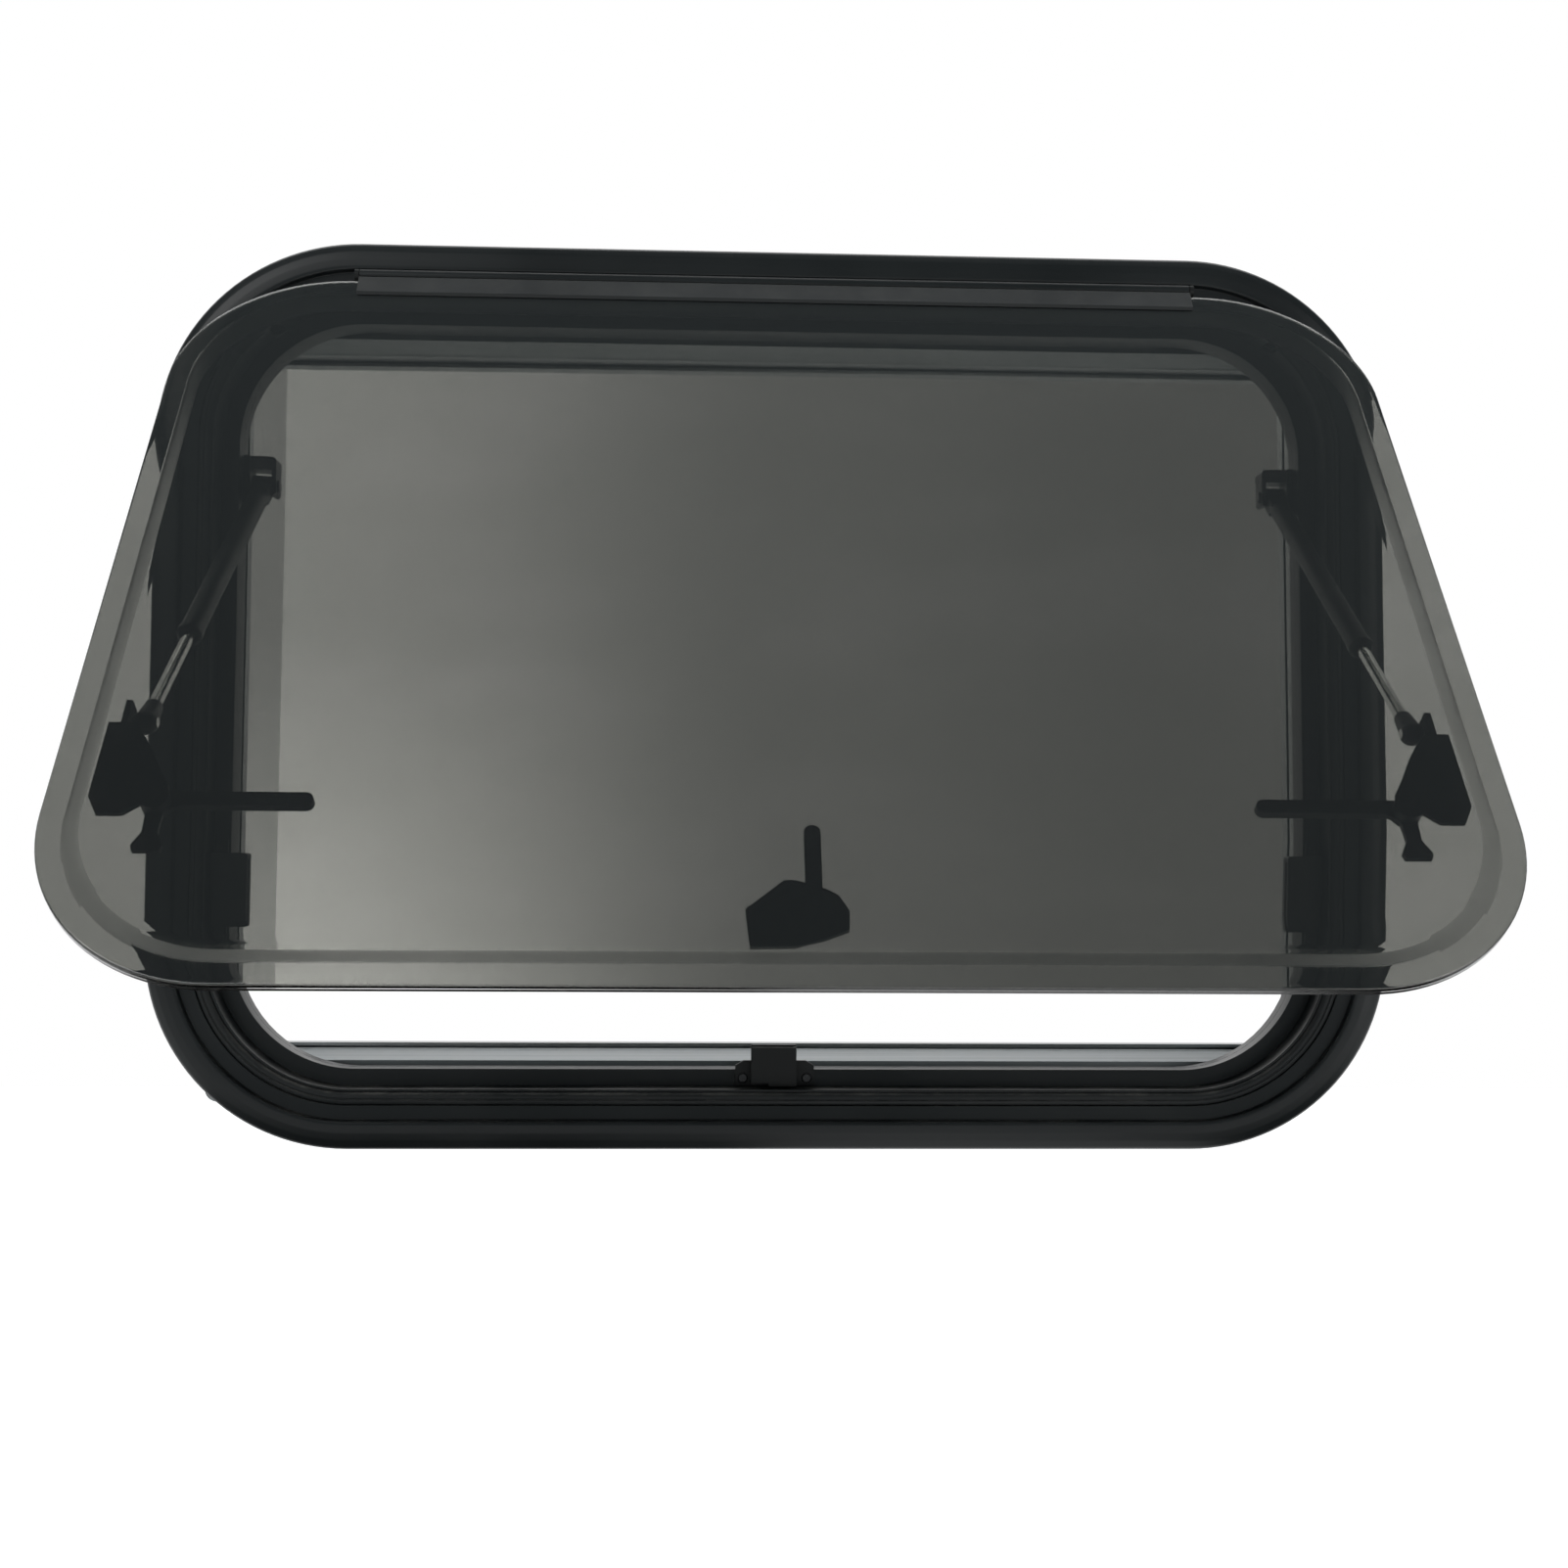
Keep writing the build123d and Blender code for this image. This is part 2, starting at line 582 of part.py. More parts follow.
def stay_ends():
    """The stay's two pivots in the open rest place, as (frame pivot, pane pivot)."""
    frame_end = Vector(STAY_X, STAY_FRAME_Y, STAY_FRAME_Z)
    pane_end = opened(Vertex(STAY_X, STAY_PANE_Y, STAY_PANE_Z)).center()
    return frame_end, pane_end


def along_stay(shape):
    """Place a part built along +Z from the frame pivot onto the right-hand stay."""
    start, end = stay_ends()
    run = end - start
    return Plane(origin=start, x_dir=(1, 0, 0), z_dir=run).location * shape


def stay_length():
    """Distance between the stay's pivots in the open rest place."""
    start, end = stay_ends()
    return (end - start).length


def stay_tube():
    """Outer tube with a flattened eye at the frame end."""
    body = Pos(0, 0, 15) * Cylinder(STAY_TUBE_R, STAY_TUBE_LEN - 15, align=UPWARDS)
    body = chamfer(body.edges().group_by(Axis.Z)[0], 2.0)
    eye = Rot(0, 90, 0) * Cylinder(6.0, 11.8)
    neck = Pos(0, 0, 9) * Box(11.8, 9, 16)
    bore = Pos(0, 0, 24) * Cylinder(STAY_ROD_R + RUN_CLEAR, STAY_TUBE_LEN, align=UPWARDS)
    tube = body + eye + neck - Rot(0, 90, 0) * Cylinder(STAY_PIN_R + RUN_CLEAR, 20) - bore
    return along_stay(tube)


def stay_collar():
    """Friction gland on the mouth of the tube."""
    ring_part = Pos(0, 0, STAY_TUBE_LEN) * Cylinder(STAY_TUBE_R + 0.5, 7, align=UPWARDS)
    ring_part = chamfer(ring_part.edges().group_by(Axis.Z)[-1], 1.6)
    hole = Pos(0, 0, STAY_TUBE_LEN - 1) * Cylinder(STAY_ROD_R + RUN_CLEAR, 12, align=UPWARDS)
    return along_stay(ring_part - hole)


def stay_rod():
    """Bright inner rod that slides in the tube."""
    inside = 62.0
    start = STAY_TUBE_LEN - inside
    length = stay_length() - 9 - start
    rod = Pos(0, 0, start) * Cylinder(STAY_ROD_R, length, align=UPWARDS)
    return along_stay(rod)


def stay_knuckle():
    """Rounded end fitting of the rod, beside the pane's ear."""
    end = stay_length()
    ball = Pos(0, 0, end) * Sphere(6.2)
    neck = Pos(0, 0, end - 15) * Cone(4.4, 5.6, 12, align=UPWARDS)
    flat = Pos(0, 0, end) * Box(11.6, 20, 40)
    socket = Pos(0, 0, end - 16) * Cylinder(STAY_ROD_R, 7, align=UPWARDS)
    eye = Pos(0, 0, end) * Rot(0, 90, 0) * Cylinder(STAY_PIN_R, 30)
    return along_stay(((ball + neck) & flat) - socket - eye)


def stay_end_pin():
    """Pin held in the knuckle's eye; it stops just short of the pane's ear."""
    pin = Pos(0, 0, stay_length()) * Rot(0, 90, 0) * Cylinder(STAY_PIN_R, 11.6)
    return along_stay(pin)


# ---------------------------------------------------------------- inside unit: blind above, screen below
def unit_outline():
    """The rounded block that bounds the inside unit."""
    return plate(UNIT_HALF_W, -UNIT_HALF_H, UNIT_HALF_H, UNIT_R, UNIT_Y, UNIT_END_Y)


def housing(slot_y):
    """Upper roller housing with a faceted lower edge and a slot at depth slot_y."""
    shell = [
        (UNIT_Y, UNIT_HALF_H), (UNIT_Y, 222.5), (UNIT_Y + 11, HOUSING_Z + 1), (UNIT_Y + 12.5, HOUSING_Z),
        (UNIT_END_Y - 3, HOUSING_Z), (UNIT_END_Y, HOUSING_Z + 3), (UNIT_END_Y, UNIT_HALF_H),
    ]
    t = UNIT_WALL
    cavity = [
        (UNIT_Y + t, UNIT_HALF_H - t), (UNIT_Y + t, 224), (UNIT_Y + 12.5, HOUSING_Z + t),
        (UNIT_END_Y - t - 1, HOUSING_Z + t), (UNIT_END_Y - t, HOUSING_Z + t + 1),
        (UNIT_END_Y - t, UNIT_HALF_H - t),
    ]
    half = UNIT_HALF_W - END_T
    box = bar(shell, -half, half) - bar(cavity, -UNIT_HALF_W, UNIT_HALF_W)
    mouth = block(-UNIT_HALF_W, UNIT_HALF_W, slot_y - 2.2, slot_y + 2.2, HOUSING_Z - 1, HOUSING_Z + t + 1)
    box -= mouth
    half_seat = RAIL_IN_X - 0.2
    seat = block(-half_seat, half_seat, slot_y - 6.4, slot_y + 6.4, HOUSING_Z - 1, HOUSING_Z + 0.6)
    for x, z in unit_screw_places():
        box -= rod_y(x, UNIT_END_Y - 4, UNIT_END_Y + 1, z, 1.7)
    return (box - seat) & unit_outline()


def housing_ends(roller_y):
    """End plates of a housing with a bearing stub for the roller."""
    plates = []
    for side in (-1, 1):
        outer = side * UNIT_HALF_W
        inner = side * (UNIT_HALF_W - END_T)
        cover = block(inner, outer, UNIT_Y, UNIT_END_Y, HOUSING_Z, UNIT_HALF_H) & unit_outline()
        stub = rod_x(inner, side * (UNIT_HALF_W - 14), roller_y, ROLLER_Z, STUB_R)
        plates.append(cover + stub)
    return group(plates)


def roller(roller_y):
    """Roller tube that turns on the end stubs."""
    half = UNIT_HALF_W - END_T - 0.8
    tube = rod_x(-half, half, roller_y, ROLLER_Z, ROLLER_R)
    for side in (-1, 1):
        tube -= rod_x(side * (half + 1), side * (half - 12), roller_y, ROLLER_Z, STUB_R + RUN_CLEAR)
    return tube


def roll(roller_y):
    """Cloth wound on the roller."""
    half = RAIL_IN_X + 3
    cloth = rod_x(-half, half, roller_y, ROLLER_Z, ROLL_R)
    return cloth - rod_x(-half - 1, half + 1, roller_y, ROLLER_Z, ROLLER_R)


def cloth_strip(plane_y):
    """The short free length of cloth between the roll and the pull bar."""
    half = RAIL_IN_X + 3
    return block(-half, half, plane_y + 0.3, plane_y + 0.8, BAR_Z + 12.4, ROLLER_Z)


def pull_bar(plane_y):
    """Pull bar: a grip flange below the housing and a web that holds the cloth."""
    section = [
        (plane_y - 5.5, BAR_Z + 2.6), (plane_y - 6, BAR_Z + 1.6), (plane_y - 5, BAR_Z),
        (plane_y + 5, BAR_Z), (plane_y + 6, BAR_Z + 1.6), (plane_y + 5.5, BAR_Z + 2.6),
        (plane_y + 1.4, BAR_Z + 2.6), (plane_y + 1.4, BAR_Z + 12), (plane_y - 1.4, BAR_Z + 12),
        (plane_y - 1.4, BAR_Z + 2.6),
    ]
    return bar(section, -RAIL_IN_X + 0.6, RAIL_IN_X - 0.6)


def bar_guides(plane_y):
    """Sliding shoes on the ends of a pull bar, running in the side rails."""
    shoes = []
    for side in (-1, 1):
        inner = side * (RAIL_IN_X - 0.6)
        shoes.append(block(inner, side * (RAIL_IN_X + 6), plane_y - 1.9, plane_y + 1.9, BAR_Z, BAR_Z + 2.3))
    return group(shoes)


def side_rail():
    """Right-hand guide rail with a channel for the blind and one for the screen."""
    height = HOUSING_Z - 0.3
    rail = block(RAIL_IN_X, UNIT_HALF_W, UNIT_Y, UNIT_END_Y, -height, height)
    rail = fillet(rail.edges().filter_by(Axis.Z).group_by(Axis.Y)[-1], 2.0)
    for plane_y in (SCREEN_Y, BLIND_Y):
        rail -= block(RAIL_IN_X - 1, RAIL_IN_X + 7, plane_y - 2.2, plane_y + 2.2, -height - 1, height + 1)
    return rail


def unit_screw_places():
    """Centres of the housings' corner screws."""
    return [(x, z) for x in (-330.0, 330.0) for z in (-241.0, 241.0)]


def unit_screws():
    """Screws at the corners of the housings."""
    return group([screw(x, UNIT_END_Y, z, 3, 1.6, 3.2, 1.8) for x, z in unit_screw_places()])


def spacer_strips():
    """Plastic strips that stand the inside unit off the clamp frame, clear of its screws."""
    back = CLAMP_Y + CLAMP_T
    strips = []
    for side in (-1, 1):
        strips.append(block(-240, 240, back, UNIT_Y, side * 226, side * 234))
        for low in (-100, 10):
            strips.append(block(side * 334.5, side * 344, back, UNIT_Y, low, low + 90))
    return group(strips)


def turned_down(shape):
    """The lower twin of an upper part of the inside unit."""
    return mirrored(shape, Plane.XY)


# ---------------------------------------------------------------- write the nodes
def main():
    os.makedirs("parts", exist_ok=True)

    save(outer_frame(), "outer_frame")
    save(wall_gasket(), "wall_gasket")
    save(main_seal(), "main_seal")
    save(clamp_frame(), "clamp_frame")
    save(clamp_screws(), "clamp_screws")
    save(hinge_rail(), "hinge_rail")
    save(hinge_rail_caps(), "hinge_rail_caps")

    save(opened(pane_rail()), "pane_hinge_rail")
    save(opened(outer_pane()), "outer_pane")
    save(opened(inner_pane()), "inner_pane")
    save(opened(vent_plugs()), "vent_plugs")

    base = side_base()
    save(opened(base), "latch_base_right")
    save(opened(mirrored(base)), "latch_base_left")
    save(opened(foot_base()), "latch_base_bottom")
    save(opened(base_screws()), "latch_base_screws")
    save(opened(latch_pins()), "latch_pins")

    side_lever = lever(SIDE_HUB_X, SIDE_HUB_Z, SIDE_ARM, 3.2, 7.4)
    save(opened(side_lever), "lever_right")
    save(opened(mirrored(side_lever)), "lever_left")
    side_button = button(SIDE_HUB_X, SIDE_HUB_Z, 3.2)
    save(opened(side_button), "button_right")
    save(opened(mirrored(side_button)), "button_left")
    save(opened(foot_turned(lever(FOOT_HUB_X, FOOT_HUB_Z, FOOT_ARM, 3.2, 5.4))), "lever_bottom")
    save(opened(foot_turned(button(FOOT_HUB_X, FOOT_HUB_Z, 3.2))), "button_bottom")

    save_pair(side_catch(), "catch")
    save(foot_catch(), "catch_bottom")
    save(catch_screws(), "catch_screws")

    save_pair(stay_bracket(), "stay_bracket")
    save_pair(stay_bracket_pin(), "stay_bracket_pin")
    save(bracket_screws(), "stay_bracket_screws")
    save_pair(stay_tube(), "stay_tube")
    save_pair(stay_collar(), "stay_collar")
    save_pair(stay_rod(), "stay_rod")
    save_pair(stay_knuckle(), "stay_knuckle")
    save_pair(stay_end_pin(), "stay_end_pin")

    save(spacer_strips(), "unit_spacers")
    save_pair(side_rail(), "side_rail")
    save(unit_screws(), "unit_screws")
    blind_roller_y = BLIND_Y - ROLL_R
    save(housing(BLIND_Y), "blind_housing")
    save(housing_ends(blind_roller_y), "blind_housing_ends")
    save(roller(blind_roller_y), "blind_roller")
    save(roll(blind_roller_y), "blind_roll")
    save(cloth_strip(BLIND_Y), "blind_cloth")
    save(pull_bar(BLIND_Y), "blind_pull_bar")
    save(bar_guides(BLIND_Y), "blind_bar_guides")
    screen_roller_y = SCREEN_Y + ROLL_R
    save(turned_down(housing(SCREEN_Y)), "screen_housing")
    save(turned_down(housing_ends(screen_roller_y)), "screen_housing_ends")
    save(turned_down(roller(screen_roller_y)), "screen_roller")
    save(turned_down(roll(screen_roller_y)), "screen_roll")
    save(turned_down(cloth_strip(SCREEN_Y - 1.1)), "screen_mesh")
    save(turned_down(pull_bar(SCREEN_Y)), "screen_pull_bar")
    save(turned_down(bar_guides(SCREEN_Y)), "screen_bar_guides")


main()
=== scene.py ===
"""Looks of a top-hung hatch window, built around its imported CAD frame.

The window is a black bent-aluminium frame with a smoked double acrylic pane that hangs open from a hinge
along its top, two telescopic stays, three turn latches, and an inside unit with a blind and a fly screen.
Lengths in the classes are millimetres in the shared frame: +X right from outside, +Y inwards, +Z up.
"""

from __future__ import annotations

import json
import logging
import math
from collections.abc import Callable, Iterable, Sequence
from dataclasses import astuple, dataclass, field, replace
from enum import Enum

import bpy
from mathutils import Euler, Matrix, Vector

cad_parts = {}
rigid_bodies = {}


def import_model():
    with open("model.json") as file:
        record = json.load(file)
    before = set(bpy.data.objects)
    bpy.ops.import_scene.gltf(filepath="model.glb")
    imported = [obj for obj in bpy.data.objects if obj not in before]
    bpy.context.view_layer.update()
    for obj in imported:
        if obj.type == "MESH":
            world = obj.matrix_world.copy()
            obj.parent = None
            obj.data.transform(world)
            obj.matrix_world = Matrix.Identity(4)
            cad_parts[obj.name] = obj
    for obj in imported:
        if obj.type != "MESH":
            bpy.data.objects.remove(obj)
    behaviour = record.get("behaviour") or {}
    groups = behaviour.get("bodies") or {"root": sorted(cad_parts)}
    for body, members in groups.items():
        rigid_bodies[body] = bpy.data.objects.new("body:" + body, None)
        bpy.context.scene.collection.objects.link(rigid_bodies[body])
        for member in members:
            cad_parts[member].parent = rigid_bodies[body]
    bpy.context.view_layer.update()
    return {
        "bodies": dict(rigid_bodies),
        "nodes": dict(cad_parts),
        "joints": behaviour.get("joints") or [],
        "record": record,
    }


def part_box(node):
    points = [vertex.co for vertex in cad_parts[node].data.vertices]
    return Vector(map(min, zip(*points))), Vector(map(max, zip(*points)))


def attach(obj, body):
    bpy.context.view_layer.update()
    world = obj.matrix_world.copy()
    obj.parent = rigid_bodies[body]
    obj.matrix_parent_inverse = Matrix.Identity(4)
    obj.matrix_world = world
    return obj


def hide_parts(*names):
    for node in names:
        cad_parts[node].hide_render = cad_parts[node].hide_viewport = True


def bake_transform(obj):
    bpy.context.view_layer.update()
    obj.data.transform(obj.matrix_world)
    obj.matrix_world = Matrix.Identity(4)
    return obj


LOG = logging.getLogger("hatch_window")
MM = 0.001
Profile = list[tuple[float, float]]
Colour = tuple[float, float, float]

DUST: Colour = (0.23, 0.22, 0.20)
DUST_ON_METAL: Colour = (0.30, 0.29, 0.27)
BRIGHT_EDGE: Colour = (0.86, 0.87, 0.87)
ACRYLIC_IOR = 1.49
STEEP = 0.93
RIM_WIDTH = 4.0
NEAR = 1e-5


# ---------------- shared sizes
@dataclass(frozen=True)
class Outline:
    """A rounded rectangle in the window's plane.

    Args:
        half_w: Half of its width.
        low: Its lowest height.
        high: Its highest height.
        radius: Its corner radius.
    """

    half_w: float
    low: float
    high: float
    radius: float

    def inset(self, amount: float) -> Outline:
        """The same outline moved inwards all round."""
        return Outline(self.half_w - amount, self.low + amount, self.high - amount, self.radius - amount)

    def towards(self, other: Outline, share: float) -> Outline:
        """An outline a share of the way to another one."""
        return Outline(*(a + (b - a) * share for a, b in zip(astuple(self), astuple(other))))

    def holds(self, x: float, z: float, margin: float) -> bool:
        """Whether a point lies inside the outline by more than a margin."""
        across = abs(x) - (self.half_w - self.radius)
        up = abs(z - (self.low + self.high) / 2) - ((self.high - self.low) / 2 - self.radius)
        if across > 0 and up > 0:
            return self.radius - math.hypot(across, up) > margin
        return self.radius - max(across, up) > margin


@dataclass(frozen=True)
class Hinge:
    """The line that the pane turns on, and how far it stands open at rest."""

    y: float = -8.0
    z: float = 249.0
    open_deg: float = 35.0

    def opening(self) -> Matrix:
        """The turn that takes a piece of the pane from closed to its open rest place."""
        pivot = Matrix.Translation((0, self.y * MM, self.z * MM))
        return pivot @ Matrix.Rotation(math.radians(-self.open_deg), 4, "X") @ pivot.inverted()


FRAME_OUTLINE = Outline(370.0, -270.0, 270.0, 120.0)
PANE_OUTLINE = Outline(346.0, -245.4, 244.0, 92.0)
HINGE = Hinge()


class Slot(Enum):
    """The record's material slots."""

    BLACK_ALUMINIUM = "black_aluminium"
    SILVER_ALUMINIUM = "silver_aluminium"
    SEAL_RUBBER = "seal_rubber"
    GASKET_FOAM = "gasket_foam"
    ACRYLIC = "smoked_acrylic"
    BLACK_PLASTIC = "black_plastic"
    GREY_PLASTIC = "grey_plastic"
    STEEL = "steel"
    DARK_STEEL = "dark_steel"
    BLACKOUT_CLOTH = "blackout_cloth"
    SCREEN_CLOTH = "screen_cloth"


# ---------------- shader nodes
class Net:
    """Places and joins the nodes of one shader tree."""

    def __init__(self, tree: bpy.types.NodeTree) -> None:
        """Starts on a tree.

        Args:
            tree: The material's or group's node tree.
        """
        self.tree = tree

    def add(self, kind: str, props: dict[str, object] | None = None, **values: object) -> bpy.types.Node:
        """Adds a node.

        Args:
            kind: The node's type.
            props: Settings of the node itself.
            **values: Values for its inputs, by name with _ for a space.

        Returns:
            The new node.
        """
        node = self.tree.nodes.new(kind)
        for key, value in (props or {}).items():
            setattr(node, key, value)
        for key, value in values.items():
            self.put(value, node.inputs[key.replace("_", " ")])
        return node

    def put(self, value: object, socket: bpy.types.NodeSocket) -> None:
        """Feeds a socket from another one, or sets it."""
        if isinstance(value, bpy.types.NodeSocket):
            self.tree.links.new(value, socket)
        else:
            socket.default_value = value

    def math(self, kind: str, a: object, b: object = 0.0, clamp: bool = False) -> bpy.types.NodeSocket:
        """The result of one sum on numbers or sockets."""
        node = self.tree.nodes.new("ShaderNodeMath")
        node.operation, node.use_clamp = kind, clamp
        self.put(a, node.inputs[0])
        self.put(b, node.inputs[1])
        return node.outputs[0]

    def mix(self, share: object, a: object, b: object) -> bpy.types.NodeSocket:
        """One colour turning into another."""
        node = self.tree.nodes.new("ShaderNodeMix")
        node.data_type = "RGBA"
        self.put(share, node.inputs[0])
        self.put(a, node.inputs[6])
        self.put(b, node.inputs[7])
        return node.outputs[2]

    def range(
        self, value: object, low: float, high: float, to_low: object, to_high: object
    ) -> bpy.types.NodeSocket:
        """A number brought from one range to another, smoothly and without overshoot."""
        node = self.tree.nodes.new("ShaderNodeMapRange")
        node.interpolation_type = "SMOOTHSTEP"
        for socket, number in zip(node.inputs, (value, low, high, to_low, to_high)):
            self.put(number, socket)
        return node.outputs[0]

    def place(self, stretch: Sequence[float] = (1, 1, 1)) -> bpy.types.NodeSocket:
        """Object coordinates, stretched along each axis."""
        coords = self.add("ShaderNodeTexCoord")
        return self.add("ShaderNodeMapping", Vector=coords.outputs["Object"], Scale=stretch).outputs[0]


def new_group(
    name: str, inputs: dict[str, float], outputs: dict[str, str], build: Callable[[Net, dict], dict]
) -> bpy.types.NodeTree:
    """Makes a shader node group once.

    Args:
        name: The group's name.
        inputs: Its number inputs with their usual values.
        outputs: Its outputs and their socket types.
        build: Fills the group and gives back each output's socket.

    Returns:
        The group's node tree.
    """
    tree = bpy.data.node_groups.new(name, "ShaderNodeTree")
    for label, value in inputs.items():
        tree.interface.new_socket(label, in_out="INPUT", socket_type="NodeSocketFloat").default_value = value
    for label, kind in outputs.items():
        tree.interface.new_socket(label, in_out="OUTPUT", socket_type=kind)
    net = Net(tree)
    given = net.add("NodeGroupInput")
    made = build(net, {label: given.outputs[label] for label in inputs})
    end = net.add("NodeGroupOutput")
    for label, socket in made.items():
        net.put(socket, end.inputs[label])
    return tree


def fill_rubbed_edges(net: Net, given: dict) -> dict:
    """Finds edges, broken up by noise, where a coating has been rubbed thin."""
    bevel = net.add("ShaderNodeBevel", {"samples": 4}, Radius=given["Width"])
    flat = net.add("ShaderNodeNewGeometry")
    dot = net.add("ShaderNodeVectorMath", {"operation": "DOT_PRODUCT"})
    net.put(bevel.outputs[0], dot.inputs[0])
    net.put(flat.outputs["Normal"], dot.inputs[1])
    edge = net.range(dot.outputs["Value"], 0.72, 0.995, 1.0, 0.0)
    patches = net.add("ShaderNodeTexNoise", Vector=net.place(), Scale=190.0, Detail=4.0, Roughness=0.6)
    worn = net.range(patches.outputs[0], 0.35, 0.65, 0.25, 1.0)
    return {"Mask": net.math("MULTIPLY", net.math("MULTIPLY", edge, worn), given["Amount"], True)}


def fill_fine_grain(net: Net, given: dict) -> dict:
    """A fine coating or moulding texture, with a wide soft drift in tone."""
    fine = net.add("ShaderNodeTexNoise", Vector=net.place(), Scale=given["Scale"], Detail=3.0, Roughness=0.55)
    cells = net.add("ShaderNodeTexVoronoi", Vector=net.place(), Scale=given["Scale"])
    wide = net.add("ShaderNodeTexNoise", Vector=net.place(), Scale=9.0, Detail=2.0)
    height = net.math("ADD", fine.outputs[0], net.math("MULTIPLY", cells.outputs["Distance"], 0.6))
    return {"Height": height, "Tone": net.range(wide.outputs[0], 0.3, 0.7, 0.0, 1.0)}


def fill_drawn_lines(net: Net, given: dict) -> dict:
    """Fine lines along X, left by drawing or brushing the metal."""
    fine_place = net.place((3, 900, 900))
    lines = net.add("ShaderNodeTexNoise", Vector=fine_place, Scale=1.0, Detail=5.0, Roughness=0.7)
    sparse = net.add("ShaderNodeTexNoise", Vector=net.place((2, 160, 160)), Scale=1.0, Detail=2.0)
    fine, wide = net.math("MULTIPLY", lines.outputs[0], 0.7), net.math("MULTIPLY", sparse.outputs[0], 0.3)
    tone = net.math("ADD", fine, wide)
    return {"Height": net.math("MULTIPLY", tone, given["Depth"]), "Tone": tone}


def fill_settled_dust(net: Net, given: dict) -> dict:
    """Dust that lies on faces that look up, thin and patchy."""
    normal = net.add("ShaderNodeNewGeometry").outputs["Normal"]
    up = net.add("ShaderNodeSeparateXYZ", Vector=normal).outputs["Z"]
    patches = net.add("ShaderNodeTexNoise", Vector=net.place(), Scale=45.0, Detail=6.0, Roughness=0.65)
    lying = net.range(up, 0.25, 1.0, 0.0, 1.0)
    patchy = net.range(patches.outputs[0], 0.38, 0.72, 0.0, 1.0)
    return {"Mask": net.math("MULTIPLY", net.math("MULTIPLY", lying, patchy), given["Amount"], True)}


def fill_woven_threads(net: Net, given: dict) -> dict:
    """A plain weave of threads, from places counted in threads across and along the cloth."""
    along = net.math("SINE", net.math("MULTIPLY", given["Across"], math.pi))
    across = net.math("SINE", net.math("MULTIPLY", given["Along"], math.pi))
    weave = net.math("MULTIPLY", along, across)
    height = net.math("ADD", net.math("MULTIPLY", weave, 0.5), 0.5)
    return {"Height": height, "Tone": net.math("ABSOLUTE", weave)}


class Effects:
    """The effects that several finishes share, each made once."""

    def __init__(self) -> None:
        """Makes the node groups."""
        number = "NodeSocketFloat"
        both, mask = {"Height": number, "Tone": number}, {"Mask": number}
        self.edges = new_group("rubbed_edges", {"Width": 0.0006, "Amount": 0.5}, mask, fill_rubbed_edges)
        self.grain = new_group("fine_grain", {"Scale": 900.0}, both, fill_fine_grain)
        self.lines = new_group("drawn_lines", {"Depth": 1.0}, both, fill_drawn_lines)
        self.dust = new_group("settled_dust", {"Amount": 0.3}, mask, fill_settled_dust)
        self.weave = new_group("woven_threads", {"Across": 0.0, "Along": 0.0}, both, fill_woven_threads)

    def use(self, net: Net, group: bpy.types.NodeTree, **values: float) -> bpy.types.Node:
        """Places one effect in a material with its own values."""
        node = net.add("ShaderNodeGroup", {"node_tree": group})
        for key, value in values.items():
            node.inputs[key].default_value = value
        return node


def rgba(colour: Colour) -> tuple[float, float, float, float]:
    """A colour with full opacity."""
    return (*colour, 1.0)


def start_material(name: str) -> tuple[bpy.types.Material, Net, bpy.types.Node]:
    """A new material with its net and its shader."""
    material = bpy.data.materials.new(name)
    material.use_nodes = True
    net = Net(material.node_tree)
    return material, net, material.node_tree.nodes["Principled BSDF"]


@dataclass(frozen=True)
class CoatedFinish:
    """Metal, plastic or rubber with a grain, rubbed edges and a little dust.

    Args:
        name: The material's name.
        colour: Its main colour.
        drift: The colour it drifts to over wide areas.
        worn: The colour of its rubbed edges.
        rough: Its lowest and highest roughness.
        metal: How metallic it is.
        mirror: The strength of its plain reflection.
        grain: The grain's scale.
        relief: The grain's height in metres.
        wear: How much of its edges is rubbed.
        dust: How much dust lies on it.
    """

    name: str
    colour: Colour
    drift: Colour
    worn: Colour
    rough: tuple[float, float]
    metal: float = 0.0
    mirror: float = 0.5
    grain: float = 900.0
    relief: float = 0.00002
    wear: float = 0.3
    dust: float = 0.12

    def make(self, effects: Effects) -> bpy.types.Material:
        """Builds the material.

        Args:
            effects: The shared node groups.

        Returns:
            The new material.
        """
        material, net, shader = start_material(self.name)
        grain = effects.use(net, effects.grain, Scale=self.grain)
        edges = effects.use(net, effects.edges, Width=0.0007, Amount=self.wear)
        dust = effects.use(net, effects.dust, Amount=self.dust)
        colour = net.mix(grain.outputs["Tone"], rgba(self.colour), rgba(self.drift))
        colour = net.mix(edges.outputs["Mask"], colour, rgba(self.worn))
        colour = net.mix(dust.outputs["Mask"], colour, rgba(DUST))
        rough = net.range(grain.outputs["Tone"], 0.0, 1.0, self.rough[0], self.rough[1])
        rough = net.math("ADD", rough, net.math("MULTIPLY", dust.outputs["Mask"], 0.3), True)
        bump = net.add("ShaderNodeBump", Strength=0.35, Distance=self.relief, Height=grain.outputs["Height"])
        net.put(colour, shader.inputs["Base Color"])
        net.put(rough, shader.inputs["Roughness"])
        net.put(bump.outputs[0], shader.inputs["Normal"])
        shader.inputs["Metallic"].default_value = self.metal
        shader.inputs["Specular IOR Level"].default_value = self.mirror
        return material


